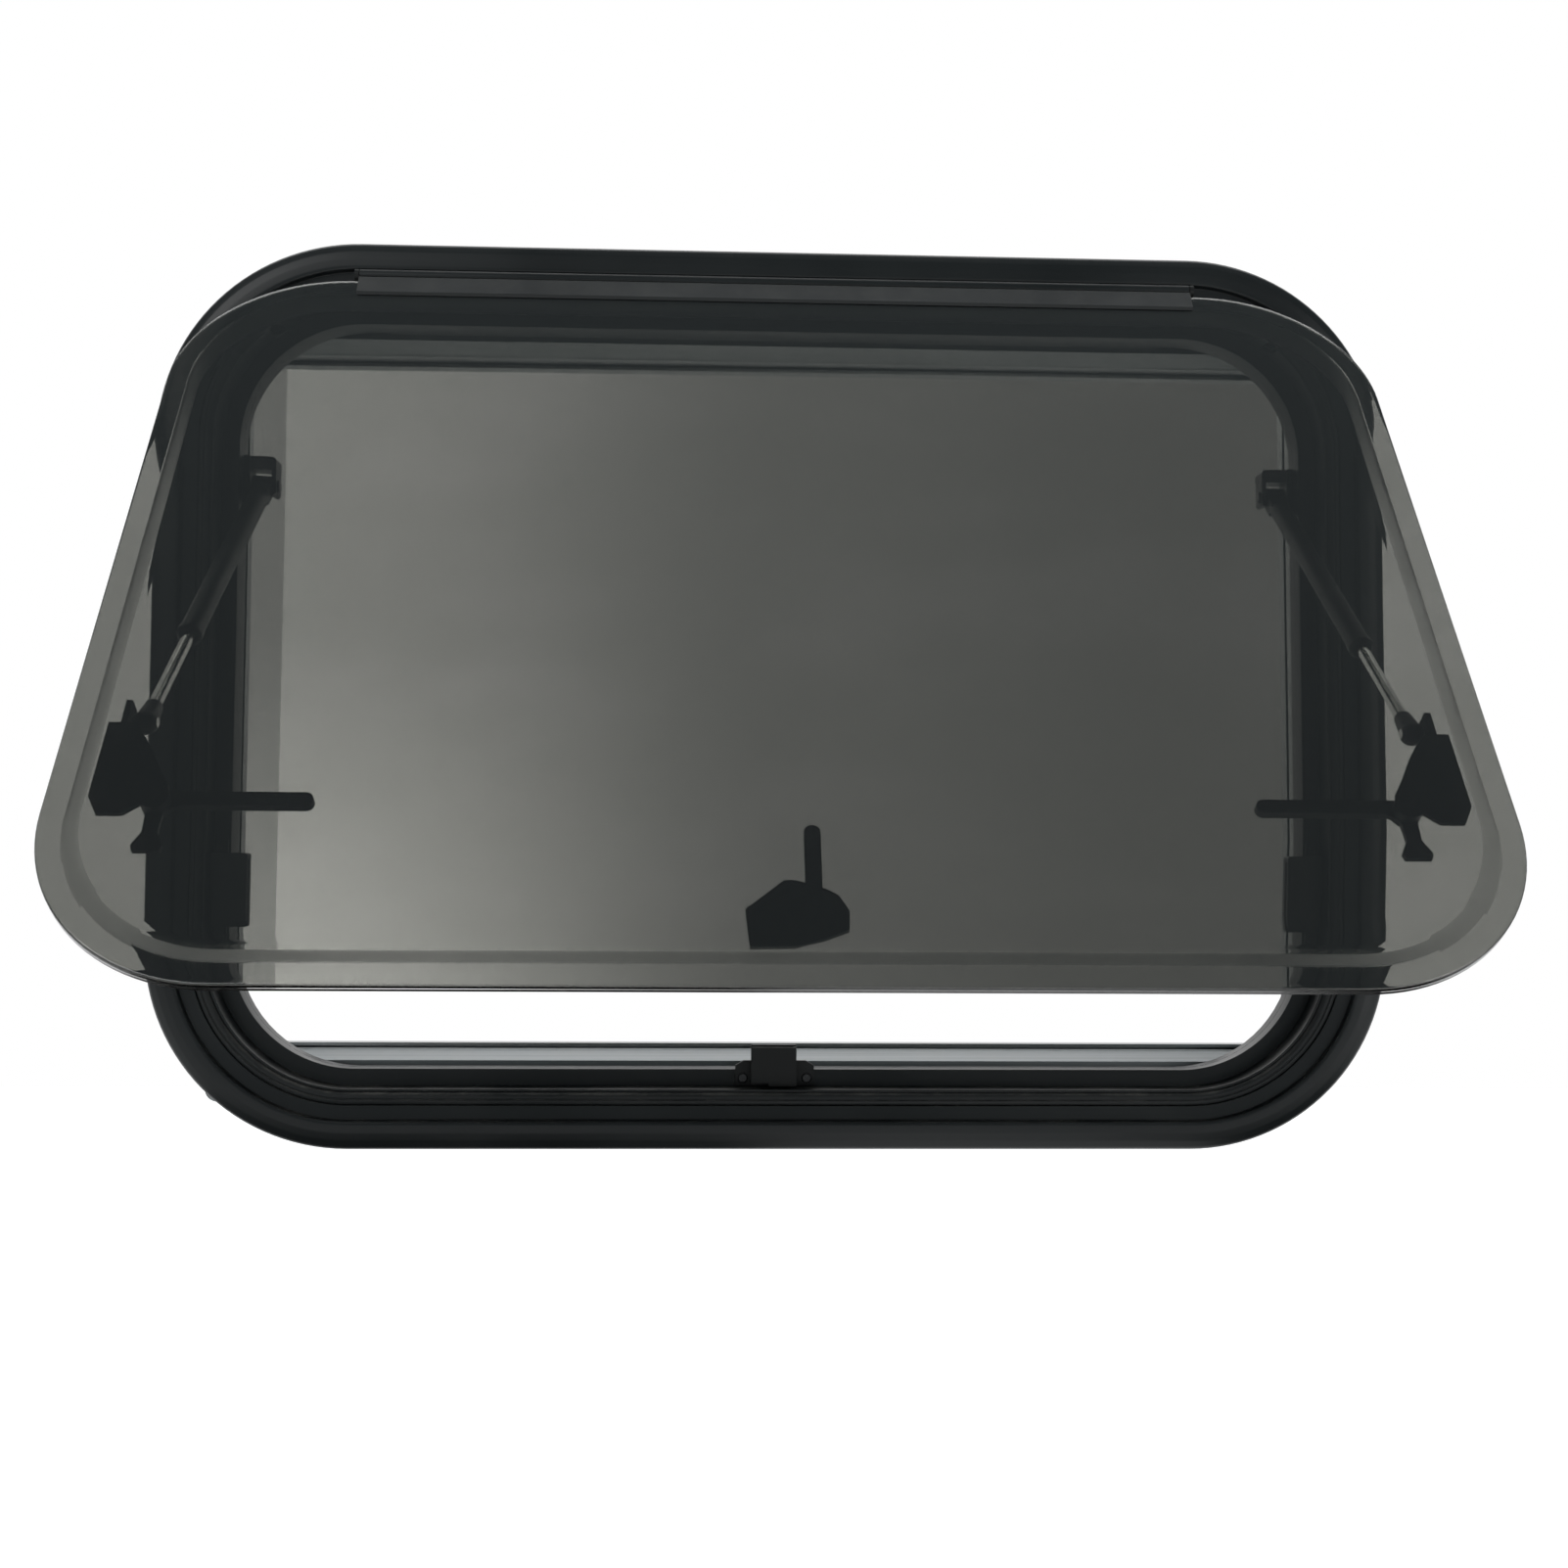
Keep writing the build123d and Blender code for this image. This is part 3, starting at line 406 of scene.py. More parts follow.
@dataclass(frozen=True)
class DrawnFinish:
    """Bare drawn metal with lines along its length.

    Args:
        name: The material's name.
        colour: Its main colour.
        dark: The colour down in its lines.
        rough: Its lowest and highest roughness.
        relief: The height of the lines in metres.
    """

    name: str
    colour: Colour
    dark: Colour
    rough: tuple[float, float]
    relief: float = 0.00001

    def make(self, effects: Effects) -> bpy.types.Material:
        """Builds the material.

        Args:
            effects: The shared node groups.

        Returns:
            The new material.
        """
        material, net, shader = start_material(self.name)
        lines = effects.use(net, effects.lines, Depth=1.0)
        edges = effects.use(net, effects.edges, Width=0.0005, Amount=0.35)
        dust = effects.use(net, effects.dust, Amount=0.15)
        tone = net.range(lines.outputs["Tone"], 0.3, 0.7, 0.0, 1.0)
        colour = net.mix(tone, rgba(self.dark), rgba(self.colour))
        colour = net.mix(edges.outputs["Mask"], colour, rgba(BRIGHT_EDGE))
        colour = net.mix(dust.outputs["Mask"], colour, rgba(DUST_ON_METAL))
        bump = net.add("ShaderNodeBump", Strength=0.3, Distance=self.relief, Height=lines.outputs["Height"])
        net.put(colour, shader.inputs["Base Color"])
        net.put(net.range(tone, 0.0, 1.0, self.rough[1], self.rough[0]), shader.inputs["Roughness"])
        net.put(bump.outputs[0], shader.inputs["Normal"])
        shader.inputs["Metallic"].default_value = 1.0
        return material


@dataclass(frozen=True)
class AcrylicFinish:
    """Clear tinted acrylic with faint wiping marks.

    Args:
        name: The material's name.
        tint: What is left of white light after one sheet.
        marked: The tint where the surface is wiped dull.
        haze: How rough the clean surface is.
    """

    name: str
    tint: Colour
    marked: Colour
    haze: float

    def make(self) -> bpy.types.Material:
        """Builds the material and gives it back."""
        material, net, shader = start_material(self.name)
        place = net.place((5, 5, 12))
        wiped = net.add("ShaderNodeTexNoise", Vector=place, Scale=1.0, Detail=5.0, Roughness=0.6)
        marks = net.range(wiped.outputs[0], 0.42, 0.68, 0.0, 1.0)
        net.put(net.mix(marks, rgba(self.tint), rgba(self.marked)), shader.inputs["Base Color"])
        net.put(net.range(marks, 0.0, 1.0, self.haze, self.haze + 0.012), shader.inputs["Roughness"])
        shader.inputs["Transmission Weight"].default_value = 1.0
        shader.inputs["IOR"].default_value = ACRYLIC_IOR
        return material


@dataclass(frozen=True)
class ClothFinish:
    """Woven cloth with threads that follow the piece's UV map.

    Args:
        name: The material's name.
        colour: The colour of its threads.
        gap: The colour between its threads.
        rough: Its roughness.
        threads: How many threads it has to the metre.
        on_roll: Whether it is wound on a roller and has no UV map.
    """

    name: str
    colour: Colour
    gap: Colour
    rough: float
    threads: float
    on_roll: bool = False

    def make(self, effects: Effects) -> bpy.types.Material:
        """Builds the material.

        Args:
            effects: The shared node groups.

        Returns:
            The new material.
        """
        material, net, shader = start_material(self.name)
        coords = net.add("ShaderNodeTexCoord")
        source = coords.outputs["Object" if self.on_roll else "UV"]
        place = net.add("ShaderNodeSeparateXYZ", Vector=source)
        weave = effects.use(net, effects.weave)
        net.put(net.math("MULTIPLY", place.outputs["X"], self.threads), weave.inputs["Across"])
        down = place.outputs["Z" if self.on_roll else "Y"]
        net.put(net.math("MULTIPLY", down, self.threads), weave.inputs["Along"])
        grain = effects.use(net, effects.grain, Scale=1500.0)
        colour = net.mix(weave.outputs["Tone"], rgba(self.gap), rgba(self.colour))
        bump = net.add("ShaderNodeBump", Strength=0.6, Distance=0.00015, Height=weave.outputs["Height"])
        net.put(colour, shader.inputs["Base Color"])
        rough = net.range(grain.outputs["Tone"], 0.0, 1.0, self.rough - 0.08, self.rough)
        net.put(rough, shader.inputs["Roughness"])
        net.put(bump.outputs[0], shader.inputs["Normal"])
        shader.inputs["Sheen Weight"].default_value = 0.2
        return material


class Finishes:
    """Every finish of the window, by slot."""

    def __init__(self) -> None:
        """Makes all the materials."""
        effects = Effects()
        black = CoatedFinish(
            "satin_black_aluminium",
            (0.0050, 0.0062, 0.0066), (0.0075, 0.0092, 0.0096), (0.070, 0.077, 0.078),
            (0.30, 0.38), mirror=0.26, grain=1100.0, wear=0.16,
        )
        rubber = CoatedFinish(
            "seal_rubber", (0.010, 0.0115, 0.012), (0.016, 0.017, 0.017), (0.04, 0.042, 0.042),
            (0.52, 0.62), mirror=0.2, grain=1600.0, wear=0.15, dust=0.3,
        )
        foam = CoatedFinish(
            "gasket_foam", (0.030, 0.031, 0.031), (0.022, 0.022, 0.022), (0.06, 0.06, 0.06),
            (0.85, 0.95), mirror=0.2, grain=700.0, relief=0.0003, wear=0.2,
        )
        black_plastic = CoatedFinish(
            "black_moulded_plastic",
            (0.0050, 0.0058, 0.0058), (0.0080, 0.0088, 0.0086), (0.030, 0.032, 0.031),
            (0.36, 0.48), mirror=0.18, grain=1300.0, relief=0.00003, wear=0.3,
        )
        grey_plastic = CoatedFinish(
            "grey_moulded_plastic", (0.13, 0.135, 0.135), (0.16, 0.165, 0.16), (0.27, 0.27, 0.26),
            (0.42, 0.52), grain=1200.0, wear=0.3,
        )
        dark_steel = CoatedFinish(
            "blackened_steel", (0.016, 0.017, 0.018), (0.024, 0.024, 0.025), (0.09, 0.088, 0.085),
            (0.30, 0.40), metal=0.6, grain=1500.0, wear=0.4,
        )
        blackout = ClothFinish("blackout_cloth_strip", (0.42, 0.41, 0.38), (0.30, 0.29, 0.27), 0.85, 1400.0)
        screen = ClothFinish("screen_cloth_strip", (0.028, 0.029, 0.029), (0.008, 0.008, 0.008), 0.6, 700.0)
        self.by_slot: dict[Slot, bpy.types.Material] = {
            Slot.BLACK_ALUMINIUM: black.make(effects),
            Slot.SILVER_ALUMINIUM: DrawnFinish(
                "drawn_aluminium", (0.29, 0.303, 0.307), (0.22, 0.23, 0.234), (0.28, 0.38)
            ).make(effects),
            Slot.SEAL_RUBBER: rubber.make(effects),
            Slot.GASKET_FOAM: foam.make(effects),
            Slot.BLACK_PLASTIC: black_plastic.make(effects),
            Slot.GREY_PLASTIC: grey_plastic.make(effects),
            Slot.STEEL: DrawnFinish(
                "bright_steel", (0.70, 0.70, 0.69), (0.58, 0.58, 0.57), (0.12, 0.2)
            ).make(effects),
            Slot.DARK_STEEL: dark_steel.make(effects),
            Slot.BLACKOUT_CLOTH: replace(blackout, name="blackout_cloth_wound", on_roll=True).make(effects),
            Slot.SCREEN_CLOTH: replace(screen, name="screen_cloth_wound", on_roll=True).make(effects),
        }
        self.blackout_strip = blackout.make(effects)
        self.screen_strip = screen.make(effects)
        self.outer_acrylic, self.inner_acrylic, self.bent_acrylic, self.cut_acrylic = (
            AcrylicFinish(f"smoked_acrylic_{name}", tint, marked, haze).make()
            for name, tint, marked, haze in (
                ("outer", (0.190, 0.190, 0.176), (0.202, 0.202, 0.188), 0.0),
                ("inner", (0.90, 0.905, 0.89), (0.93, 0.93, 0.92), 0.0),
                ("bend", (0.74, 0.745, 0.73), (0.80, 0.80, 0.79), 0.36),
                ("cut_edge", (0.10, 0.10, 0.095), (0.14, 0.14, 0.13), 0.25),
            )
        )

    def dress(self, piece: bpy.types.Object, slot: Slot) -> None:
        """Gives a piece one finish all over."""
        dress_with(piece, self.by_slot[slot])


def dress_with(piece: bpy.types.Object, material: bpy.types.Material) -> None:
    """Puts one material in every material slot of a piece."""
    if not piece.material_slots:
        piece.data.materials.append(material)
    for place in piece.material_slots:
        place.material = material


# ---------------- modelling by hand
def only(piece: bpy.types.Object) -> None:
    """Selects one piece and nothing else, and makes it the active one."""
    bpy.ops.object.select_all(action="DESELECT")
    piece.select_set(True)
    bpy.context.view_layer.objects.active = piece


def editing(piece: bpy.types.Object, work: Callable[[], None]) -> None:
    """Does some work on a piece in edit mode."""
    only(piece)
    bpy.ops.object.mode_set(mode="EDIT")
    work()
    bpy.ops.object.mode_set(mode="OBJECT")


def pick_faces(piece: bpy.types.Object, wanted: Callable[[bpy.types.MeshPolygon], bool]) -> None:
    """Selects the faces of a piece that pass a test, and nothing else."""
    only(piece)
    bpy.ops.object.mode_set(mode="EDIT")
    bpy.ops.mesh.select_mode(type="FACE")
    bpy.ops.mesh.select_all(action="DESELECT")
    bpy.ops.object.mode_set(mode="OBJECT")
    for face in piece.data.polygons:
        face.select = wanted(face)


def settle(piece: bpy.types.Object) -> None:
    """Moves a piece's place, turn and scale into its mesh."""
    only(piece)
    bpy.ops.object.transform_apply(location=True, rotation=True, scale=True)


def finish_modifiers(piece: bpy.types.Object) -> None:
    """Applies every modifier of a piece, in order."""
    only(piece)
    for modifier in list(piece.modifiers):
        bpy.ops.object.modifier_apply(modifier=modifier.name)


def smooth(piece: bpy.types.Object, degrees: float = 32.0) -> None:
    """Shades a piece smooth, with its sharper edges kept."""
    only(piece)
    bpy.ops.object.shade_smooth_by_angle(angle=math.radians(degrees))


def joined(pieces: Sequence[bpy.types.Object], name: str) -> bpy.types.Object:
    """Joins several meshes into the first one."""
    bpy.ops.object.select_all(action="DESELECT")
    for piece in pieces:
        piece.select_set(True)
    bpy.context.view_layer.objects.active = pieces[0]
    bpy.ops.object.join()
    pieces[0].name = name
    return pieces[0]


def tidy_shell(piece: bpy.types.Object) -> None:
    """Merges doubled points and turns every face outwards."""

    def work() -> None:
        bpy.ops.mesh.select_all(action="SELECT")
        bpy.ops.mesh.remove_doubles(threshold=NEAR)
        bpy.ops.mesh.normals_make_consistent(inside=False)

    editing(piece, work)


def rounded_face(name: str, outline: Outline, y: float, steps: int, inward: bool = False) -> bpy.types.Object:
    """Adds a flat face with round corners in the window's plane.

    Args:
        name: The new object's name.
        outline: Its outline.
        y: Its depth.
        steps: How many edges each corner gets.
        inward: Whether it looks to +Y and not to -Y.

    Returns:
        The new object, with its place in its mesh.
    """
    middle = (outline.low + outline.high) / 2 * MM
    turn = math.radians(-90 if inward else 90)
    bpy.ops.mesh.primitive_plane_add(size=1, location=(0, y * MM, middle), rotation=(turn, 0, 0))
    face = bpy.context.active_object
    face.name = name
    face.scale = (2 * outline.half_w * MM, (outline.high - outline.low) * MM, 1)
    settle(face)
    radius = outline.radius * MM

    def work() -> None:
        bpy.ops.mesh.select_all(action="SELECT")
        bpy.ops.mesh.bevel(offset=radius, segments=steps, affect="VERTICES", offset_type="OFFSET")
        bpy.ops.mesh.select_all(action="SELECT")

    editing(face, work)
    return face


def step_in(piece: bpy.types.Object, profile: Profile, outward: float, keep_face: bool) -> None:
    """Carries a piece's only face along a profile of insets and depths, leaving a band at each step.

    Args:
        piece: A mesh that is one face.
        profile: Points of (inset from the outline, depth y), with insets that never fall.
        outward: -1 where the face looks to -Y, and 1 where it looks to +Y.
        keep_face: Whether the last face stays, as on a plate, or goes, as on a ring.
    """

    def work() -> None:
        bpy.ops.mesh.select_all(action="SELECT")
        for (inset, y), (next_inset, next_y) in zip(profile, profile[1:]):
            rise = (next_y - y) * MM
            grow = (next_inset - inset) * MM
            if grow < 1e-7:
                bpy.ops.mesh.extrude_region_move(TRANSFORM_OT_translate={"value": (0, rise, 0)})
            else:
                bpy.ops.mesh.inset(thickness=grow, depth=rise * outward, use_even_offset=True)

    editing(piece, work)
    last_y = profile[-1][1] * MM

    def unwanted(face: bpy.types.MeshPolygon) -> bool:
        last = abs(face.center.y - last_y) < 1e-6
        return len(face.vertices) > 4 and not (keep_face and last)

    pick_faces(piece, unwanted)
    editing(piece, lambda: bpy.ops.mesh.delete(type="ONLY_FACE"))


def eased(points: Profile, radius: float, steps: int = 3) -> Profile:
    """Rounds the inner corners of an open profile.

    Args:
        points: The profile's corners.
        radius: How far from a corner the rounding starts, at most 45% of the shorter run beside it.
        steps: How many edges each rounding gets.

    Returns:
        The rounded profile.
    """
    made: Profile = [points[0]]
    for before, corner, after in zip(points, points[1:], points[2:]):
        here, back, on = Vector(corner), Vector(before) - Vector(corner), Vector(after) - Vector(corner)
        reach = min(
            radius,
            back.length * (1 if before is points[0] else 0.45),
            on.length * (1 if after is points[-1] else 0.45),
        )
        start, end = here + back.normalized() * reach, here + on.normalized() * reach
        for i in range(steps + 1):
            t = i / steps
            point = start * (1 - t) ** 2 + here * 2 * t * (1 - t) + end * t**2
            made.append((point.x, point.y))
    made.append(points[-1])
    apart = [b for a, b in zip(made, made[1:]) if math.dist(a, b) > 0.001]
    return [made[0], *apart]


def ring(name: str, outline: Outline, front: Profile, back: Profile, steps: int = 28) -> bpy.types.Object:
    """Models a ring round the window from the front and back halves of its section.

    Args:
        name: The new object's name.
        outline: The outline that insets are measured from.
        front: The section's side that is seen from outside, from its outer edge to its inner edge.
        back: The section's other side, between the same two edges.
        steps: How many edges each corner gets.

    Returns:
        The new object, closed and facing outwards.
    """
    halves = []
    for side, profile in (("front", front), ("back", back)):
        inward = side == "back"
        half = rounded_face(f"{name}_{side}", outline.inset(profile[0][0]), profile[0][1], steps, inward)
        step_in(half, profile, 1 if inward else -1, keep_face=False)
        halves.append(half)
    made = joined(halves, name)
    tidy_shell(made)
    smooth(made)
    return made


def stand(
    piece: bpy.types.Object, body: str, material: bpy.types.Material, replaces: Iterable[str] = ()
) -> bpy.types.Object:
    """Dresses a finished piece and hangs it on its body.

    Args:
        piece: The piece, with its place in its mesh.
        body: The body that it rides on.
        material: Its material.
        replaces: The CAD nodes that it stands for.

    Returns:
        The same piece.
    """
    dress_with(piece, material)
    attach(piece, body)
    for node in replaces:
        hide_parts(node)
    LOG.info("%s rides on %s, %d faces", piece.name, body, len(piece.data.polygons))
    return piece


# ---------------- sub-assemblies
@dataclass
class OuterFrame:
    """The bent aluminium frame with its rubber seal.

    Args:
        finishes: The window's finishes.
        corner_steps: How many edges each bend gets.
        front: The section seen from outside.
        back: The section's hidden side.
        seal_front: The seal's outer side, with two lips.
        seal_back: The seal's underside.
    """

    finishes: Finishes
    corner_steps: int = 30
    front: Profile = field(
        default_factory=lambda: [
            (0, -1), (0, -3.4), (1.6, -5.3), (5.5, -6.9), (10, -7.5), (14.8, -7.6), (16.7, -7.2),
            (17, -3), (25.6, -3), (25.6, 1), (33.2, 1), (33.2, -1), (34.8, -1), (34.8, 16),
            (45, 16), (45, 26),
        ]
    )
    back: Profile = field(
        default_factory=lambda: [
            (0, -1), (22, -1), (22, 22), (24.5, 22), (24.5, 3), (26.5, 3), (26.5, 14), (28, 14), (28, 3),
            (32, 3), (32, 18), (43, 18), (43, 26), (45, 26),
        ]
    )
    seal_front: Profile = field(
        default_factory=lambda: [
            (25.75, 0.9), (25.75, -1.5), (26.5, -3.0), (27.8, -3.6), (28.6, -3.5), (28.9, -2.9), (29.3, -2.9),
            (29.7, -3.5), (30.6, -3.6), (32.0, -3.1), (33.05, -1.3), (33.05, 0.9),
        ]
    )
    seal_back: Profile = field(default_factory=lambda: [(25.75, 0.9), (33.05, 0.9)])

    def build(self) -> None:
        """Models and dresses the frame and its seal."""
        slots = self.finishes.by_slot
        front, back = eased(self.front, 0.7), eased(self.back, 0.4, 2)
        frame = ring("frame_section", FRAME_OUTLINE, front, back, self.corner_steps)
        stand(frame, "root", slots[Slot.BLACK_ALUMINIUM], ["outer_frame"])
        lips = eased(self.seal_front, 0.5, 2)
        seal = ring("seal_section", FRAME_OUTLINE, lips, self.seal_back, self.corner_steps)
        stand(seal, "root", slots[Slot.SEAL_RUBBER], ["main_seal"])


@dataclass
class DoublePane:
    """The flat outer sheet and the formed inner sheet.

    Args:
        finishes: The window's finishes.
        front_y: Depth of the outer sheet's front when closed.
        outer_thick: Thickness of the outer sheet.
        inner_thick: Thickness of the inner sheet.
        bond: The gap that the clear bond between the sheets fills.
        root: Outline of the pan where it leaves the rim.
        face: Outline of the pan's flat face.
        face_y: Depth of the pan's inner face when closed.
        bend: Radius of the pan's two bends.
        wall_wide: Width of the wall's profile. The root and the face set how far it leans in.
        corner_steps: How many edges each corner gets.
    """

    finishes: Finishes
    front_y: float = -8.5
    outer_thick: float = 2.6
    inner_thick: float = 2.0
    bond: float = 0.06
    root: Outline = Outline(334.0, -234.0, 234.0, 80.0)
    face: Outline = Outline(331.0, -219.5, 226.0, 76.0)
    face_y: float = 3.5
    bend: float = 3.4
    wall_wide: float = 8.0
    corner_steps: int = 26

    def outer_sheet(self) -> bpy.types.Object:
        """Models the outer sheet: a plate with a rounded front rim and a thin break on its back rim."""
        y = self.front_y
        back_y = y + self.outer_thick - self.bond
        rim = eased([(0, y + 1.4), (0, y), (3.2, y)], 1.3, 4)
        front = rounded_face("outer_front", PANE_OUTLINE, y + 1.4, self.corner_steps)
        step_in(front, rim, -1, keep_face=True)
        back = rounded_face("outer_back", PANE_OUTLINE, y + 1.4, self.corner_steps, inward=True)
        step_in(back, [(0, y + 1.4), (0, back_y - 0.25), (0.25, back_y), (1.2, back_y)], 1, keep_face=True)
        return joined([front, back], "outer_sheet")

    def pan_loops(self) -> list[tuple[Outline, float]]:
        """The inner sheet's front side as outlines at their depths, from the rim to the pan's face."""
        rim_y = self.front_y + self.outer_thick
        floor_y = self.face_y - self.inner_thick
        wide = self.wall_wide
        turns = [(-self.bend, rim_y), (0, rim_y), (wide, floor_y), (wide + self.bend, floor_y)]
        wall = eased(turns, self.bend, 6)
        loops = [(PANE_OUTLINE, rim_y + 0.04), (PANE_OUTLINE.inset(0.8), rim_y + 0.03)]
        loops += [(self.root.towards(self.face, across / wide), y) for across, y in wall if across <= wide]
        loops += [(self.face.inset(across - wide), y) for across, y in wall if across > wide]
        return loops

    def inner_sheet(self) -> bpy.types.Object:
        """Models the formed sheet by bridging its outlines, then gives it its thickness."""
        loops = [
            rounded_face(f"pan_{i:02d}", outline, y, self.corner_steps, inward=True)
            for i, (outline, y) in enumerate(self.pan_loops())
        ]
        sheet = loops[0]
        count = len(sheet.data.vertices)
        sheet = joined(loops, "inner_sheet")
        last = len(loops) - 1
        bridge_in_turn(sheet, count, last)
        tidy_shell(sheet)
        face = max(sheet.data.polygons, key=lambda polygon: polygon.area)
        if face.normal.y < 0:
            pick_faces(sheet, lambda polygon: True)
            editing(sheet, bpy.ops.mesh.flip_normals)
        thicken = sheet.modifiers.new("thickness", "SOLIDIFY")
        thicken.thickness = self.inner_thick * MM
        thicken.offset = 1
        thicken.use_even_offset = True
        finish_modifiers(sheet)
        return sheet

    def steep_faces(self, sheet: bpy.types.Object) -> dict[int, int]:
        """The material places of a closed sheet's steep faces: 1 on its cut rim, 2 on its bent walls."""
        places = {}
        for face in sheet.data.polygons:
            if abs(face.normal.y) < STEEP:
                inside = PANE_OUTLINE.holds(face.center.x / MM, face.center.z / MM, RIM_WIDTH)
                places[face.index] = 2 if inside else 1
        return places

    def build(self) -> None:
        """Models, opens and dresses both sheets."""
        for sheet, node, material in (
            (self.outer_sheet(), "outer_pane", self.finishes.outer_acrylic),
            (self.inner_sheet(), "inner_pane", self.finishes.inner_acrylic),
        ):
            tidy_shell(sheet)
            steep = self.steep_faces(sheet)
            sheet.matrix_world = HINGE.opening()
            settle(sheet)
            smooth(sheet)
            stand(sheet, "pane", material, [node])
            sheet.data.materials.append(self.finishes.cut_acrylic)
            sheet.data.materials.append(self.finishes.bent_acrylic)
            for index, place in steep.items():
                sheet.data.polygons[index].material_index = place


def bridge_in_turn(piece: bpy.types.Object, count: int, last: int) -> None:
    """Bridges stacked faces of the same number of corners and keeps only the last face.

    Args:
        piece: The joined faces, in order.
        count: How many points each face has.
        last: The number of the last face.
    """
    pick_faces(piece, lambda face: face.index != last)
    editing(piece, lambda: bpy.ops.mesh.delete(type="ONLY_FACE"))
    mesh = piece.data

    def join_two() -> None:
        bpy.ops.mesh.select_mode(type="EDGE")
        bpy.ops.mesh.bridge_edge_loops()

    for step in range(last):
        pick_faces(piece, lambda face: False)
        for edge in mesh.edges:
            loops = {v // count for v in edge.vertices}
            edge.select = loops in ({step}, {step + 1})
            for v in edge.vertices if edge.select else ():
                mesh.vertices[v].select = True
        editing(piece, join_two)


@dataclass
class RollerCloth:
    """The free strip of a roller blind, from over its roll down to its pull bar.

    Args:
        name: The piece's name.
        node: The CAD node that it stands for.
        bar: The body of its pull bar.
        slot: The record's slot of its cloth. It is not used.
        material: Its material.
        roller_y: Depth of the roller's axis.
        up: 1 where the roller is above the bar, and -1 where it is below.
        roller_z: Height of the roller's axis, from the window's middle.
        thick: The cloth's thickness.
        arc_deg: How far it lies round the roll.
        arc_steps: How many edges that arc gets.
        drops: How many rows the straight part gets.
        columns: How many columns it has.
    """

    name: str
    node: str
    bar: str
    slot: Slot
    material: bpy.types.Material
    roller_y: float
    up: int
    roller_z: float = 232.0
    thick: float = 0.35
    arc_deg: float = 100.0
    arc_steps: int = 14
    drops: int = 12
    columns: int = 48

    def build(self) -> None:
        """Models the strip over its roller and down to where its bar rests, and gives it its threads' map."""
        low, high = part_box(self.node)
        wide, tall = high.x - low.x, high.z - low.z
        y = (low.y + high.y) / 2
        centre = ((low.x + high.x) / 2, y, (low.z + high.z) / 2)
        bpy.ops.mesh.primitive_grid_add(
            x_subdivisions=self.columns, y_subdivisions=self.drops, size=1, location=centre,
            rotation=(math.pi / 2, 0, 0),
        )
        strip = bpy.context.active_object
        strip.name = self.name
        strip.scale = (wide, tall, 1)
        settle(strip)
        axis_z = self.roller_z * MM * self.up
        turn = math.radians(self.arc_deg) * (1 if y > self.roller_y * MM else -1) * self.up
        pick_faces(strip, lambda face: False)
        for vertex in strip.data.vertices:
            vertex.select = abs(vertex.co.z - axis_z) < NEAR
        for edge in strip.data.edges:
            edge.select = all(strip.data.vertices[v].select for v in edge.vertices)

        def wind() -> None:
            bpy.ops.mesh.select_mode(type="EDGE")
            bpy.ops.mesh.spin(
                steps=self.arc_steps, angle=turn, center=(0, self.roller_y * MM, axis_z), axis=(1, 0, 0)
            )

        editing(strip, wind)
        tidy_shell(strip)
        self.map_threads(strip, y, axis_z)
        thicken = strip.modifiers.new("thickness", "SOLIDIFY")
        thicken.thickness = self.thick * MM
        thicken.offset = 0
        finish_modifiers(strip)
        smooth(strip, 40)
        dress_with(strip, self.material)
        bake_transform(strip)
        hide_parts(self.node)
        LOG.info("%s hangs between root and %s", self.name, self.bar)

    def map_threads(self, strip: bpy.types.Object, y: float, axis_z: float) -> None:
        """Writes a UV map in metres: across the cloth, and along it from the roller's height."""
        uv = strip.data.uv_layers.active or strip.data.uv_layers.new(name="threads")
        roller_y = self.roller_y * MM
        radius = abs(y - roller_y)
        for loop in strip.data.loops:
            co = strip.data.vertices[loop.vertex_index].co
            rise = (co.z - axis_z) * self.up
            if rise <= 1e-6:
                along = rise
            else:
                out = co.y - roller_y
                side = abs(out) if out * (y - roller_y) > 0 else -abs(out)
                along = radius * math.atan2(rise, side)
            uv.data[loop.index].uv = (co.x, along)


SIDES = ("left", "right")
EDGES = ("left", "right", "bottom")


def each(parts: Sequence[str], places: Sequence[str]) -> tuple[str, ...]:
    """The names of parts that come once at each place."""
    return tuple(f"{part}_{place}" for part in parts for place in places)


CAD_FINISHES: dict[Slot, tuple[str, ...]] = {
    Slot.BLACK_ALUMINIUM: ("clamp_frame", "hinge_rail", "pane_hinge_rail"),
    Slot.GASKET_FOAM: ("wall_gasket",),
    Slot.SILVER_ALUMINIUM: (
        "blind_housing", "screen_housing", "blind_pull_bar", "screen_pull_bar", *each(["side_rail"], SIDES),
    ),
    Slot.BLACK_PLASTIC: (
        "hinge_rail_caps", "vent_plugs",
        *each(["catch", "latch_base", "lever", "button"], EDGES),
        *each(["stay_bracket", "stay_tube", "stay_collar", "stay_knuckle"], SIDES),
    ),
    Slot.GREY_PLASTIC: (
        "unit_spacers", "blind_housing_ends", "screen_housing_ends", "blind_bar_guides", "screen_bar_guides",
        "blind_roller", "screen_roller",
    ),
    Slot.STEEL: (*each(["stay_rod", "stay_end_pin"], SIDES), "unit_screws"),
    Slot.DARK_STEEL: (
        "clamp_screws", "catch_screws", "stay_bracket_screws", *each(["stay_bracket_pin"], SIDES),
        "latch_base_screws", "latch_pins",
    ),
    Slot.BLACKOUT_CLOTH: ("blind_roll",),
    Slot.SCREEN_CLOTH: ("screen_roll",),
}


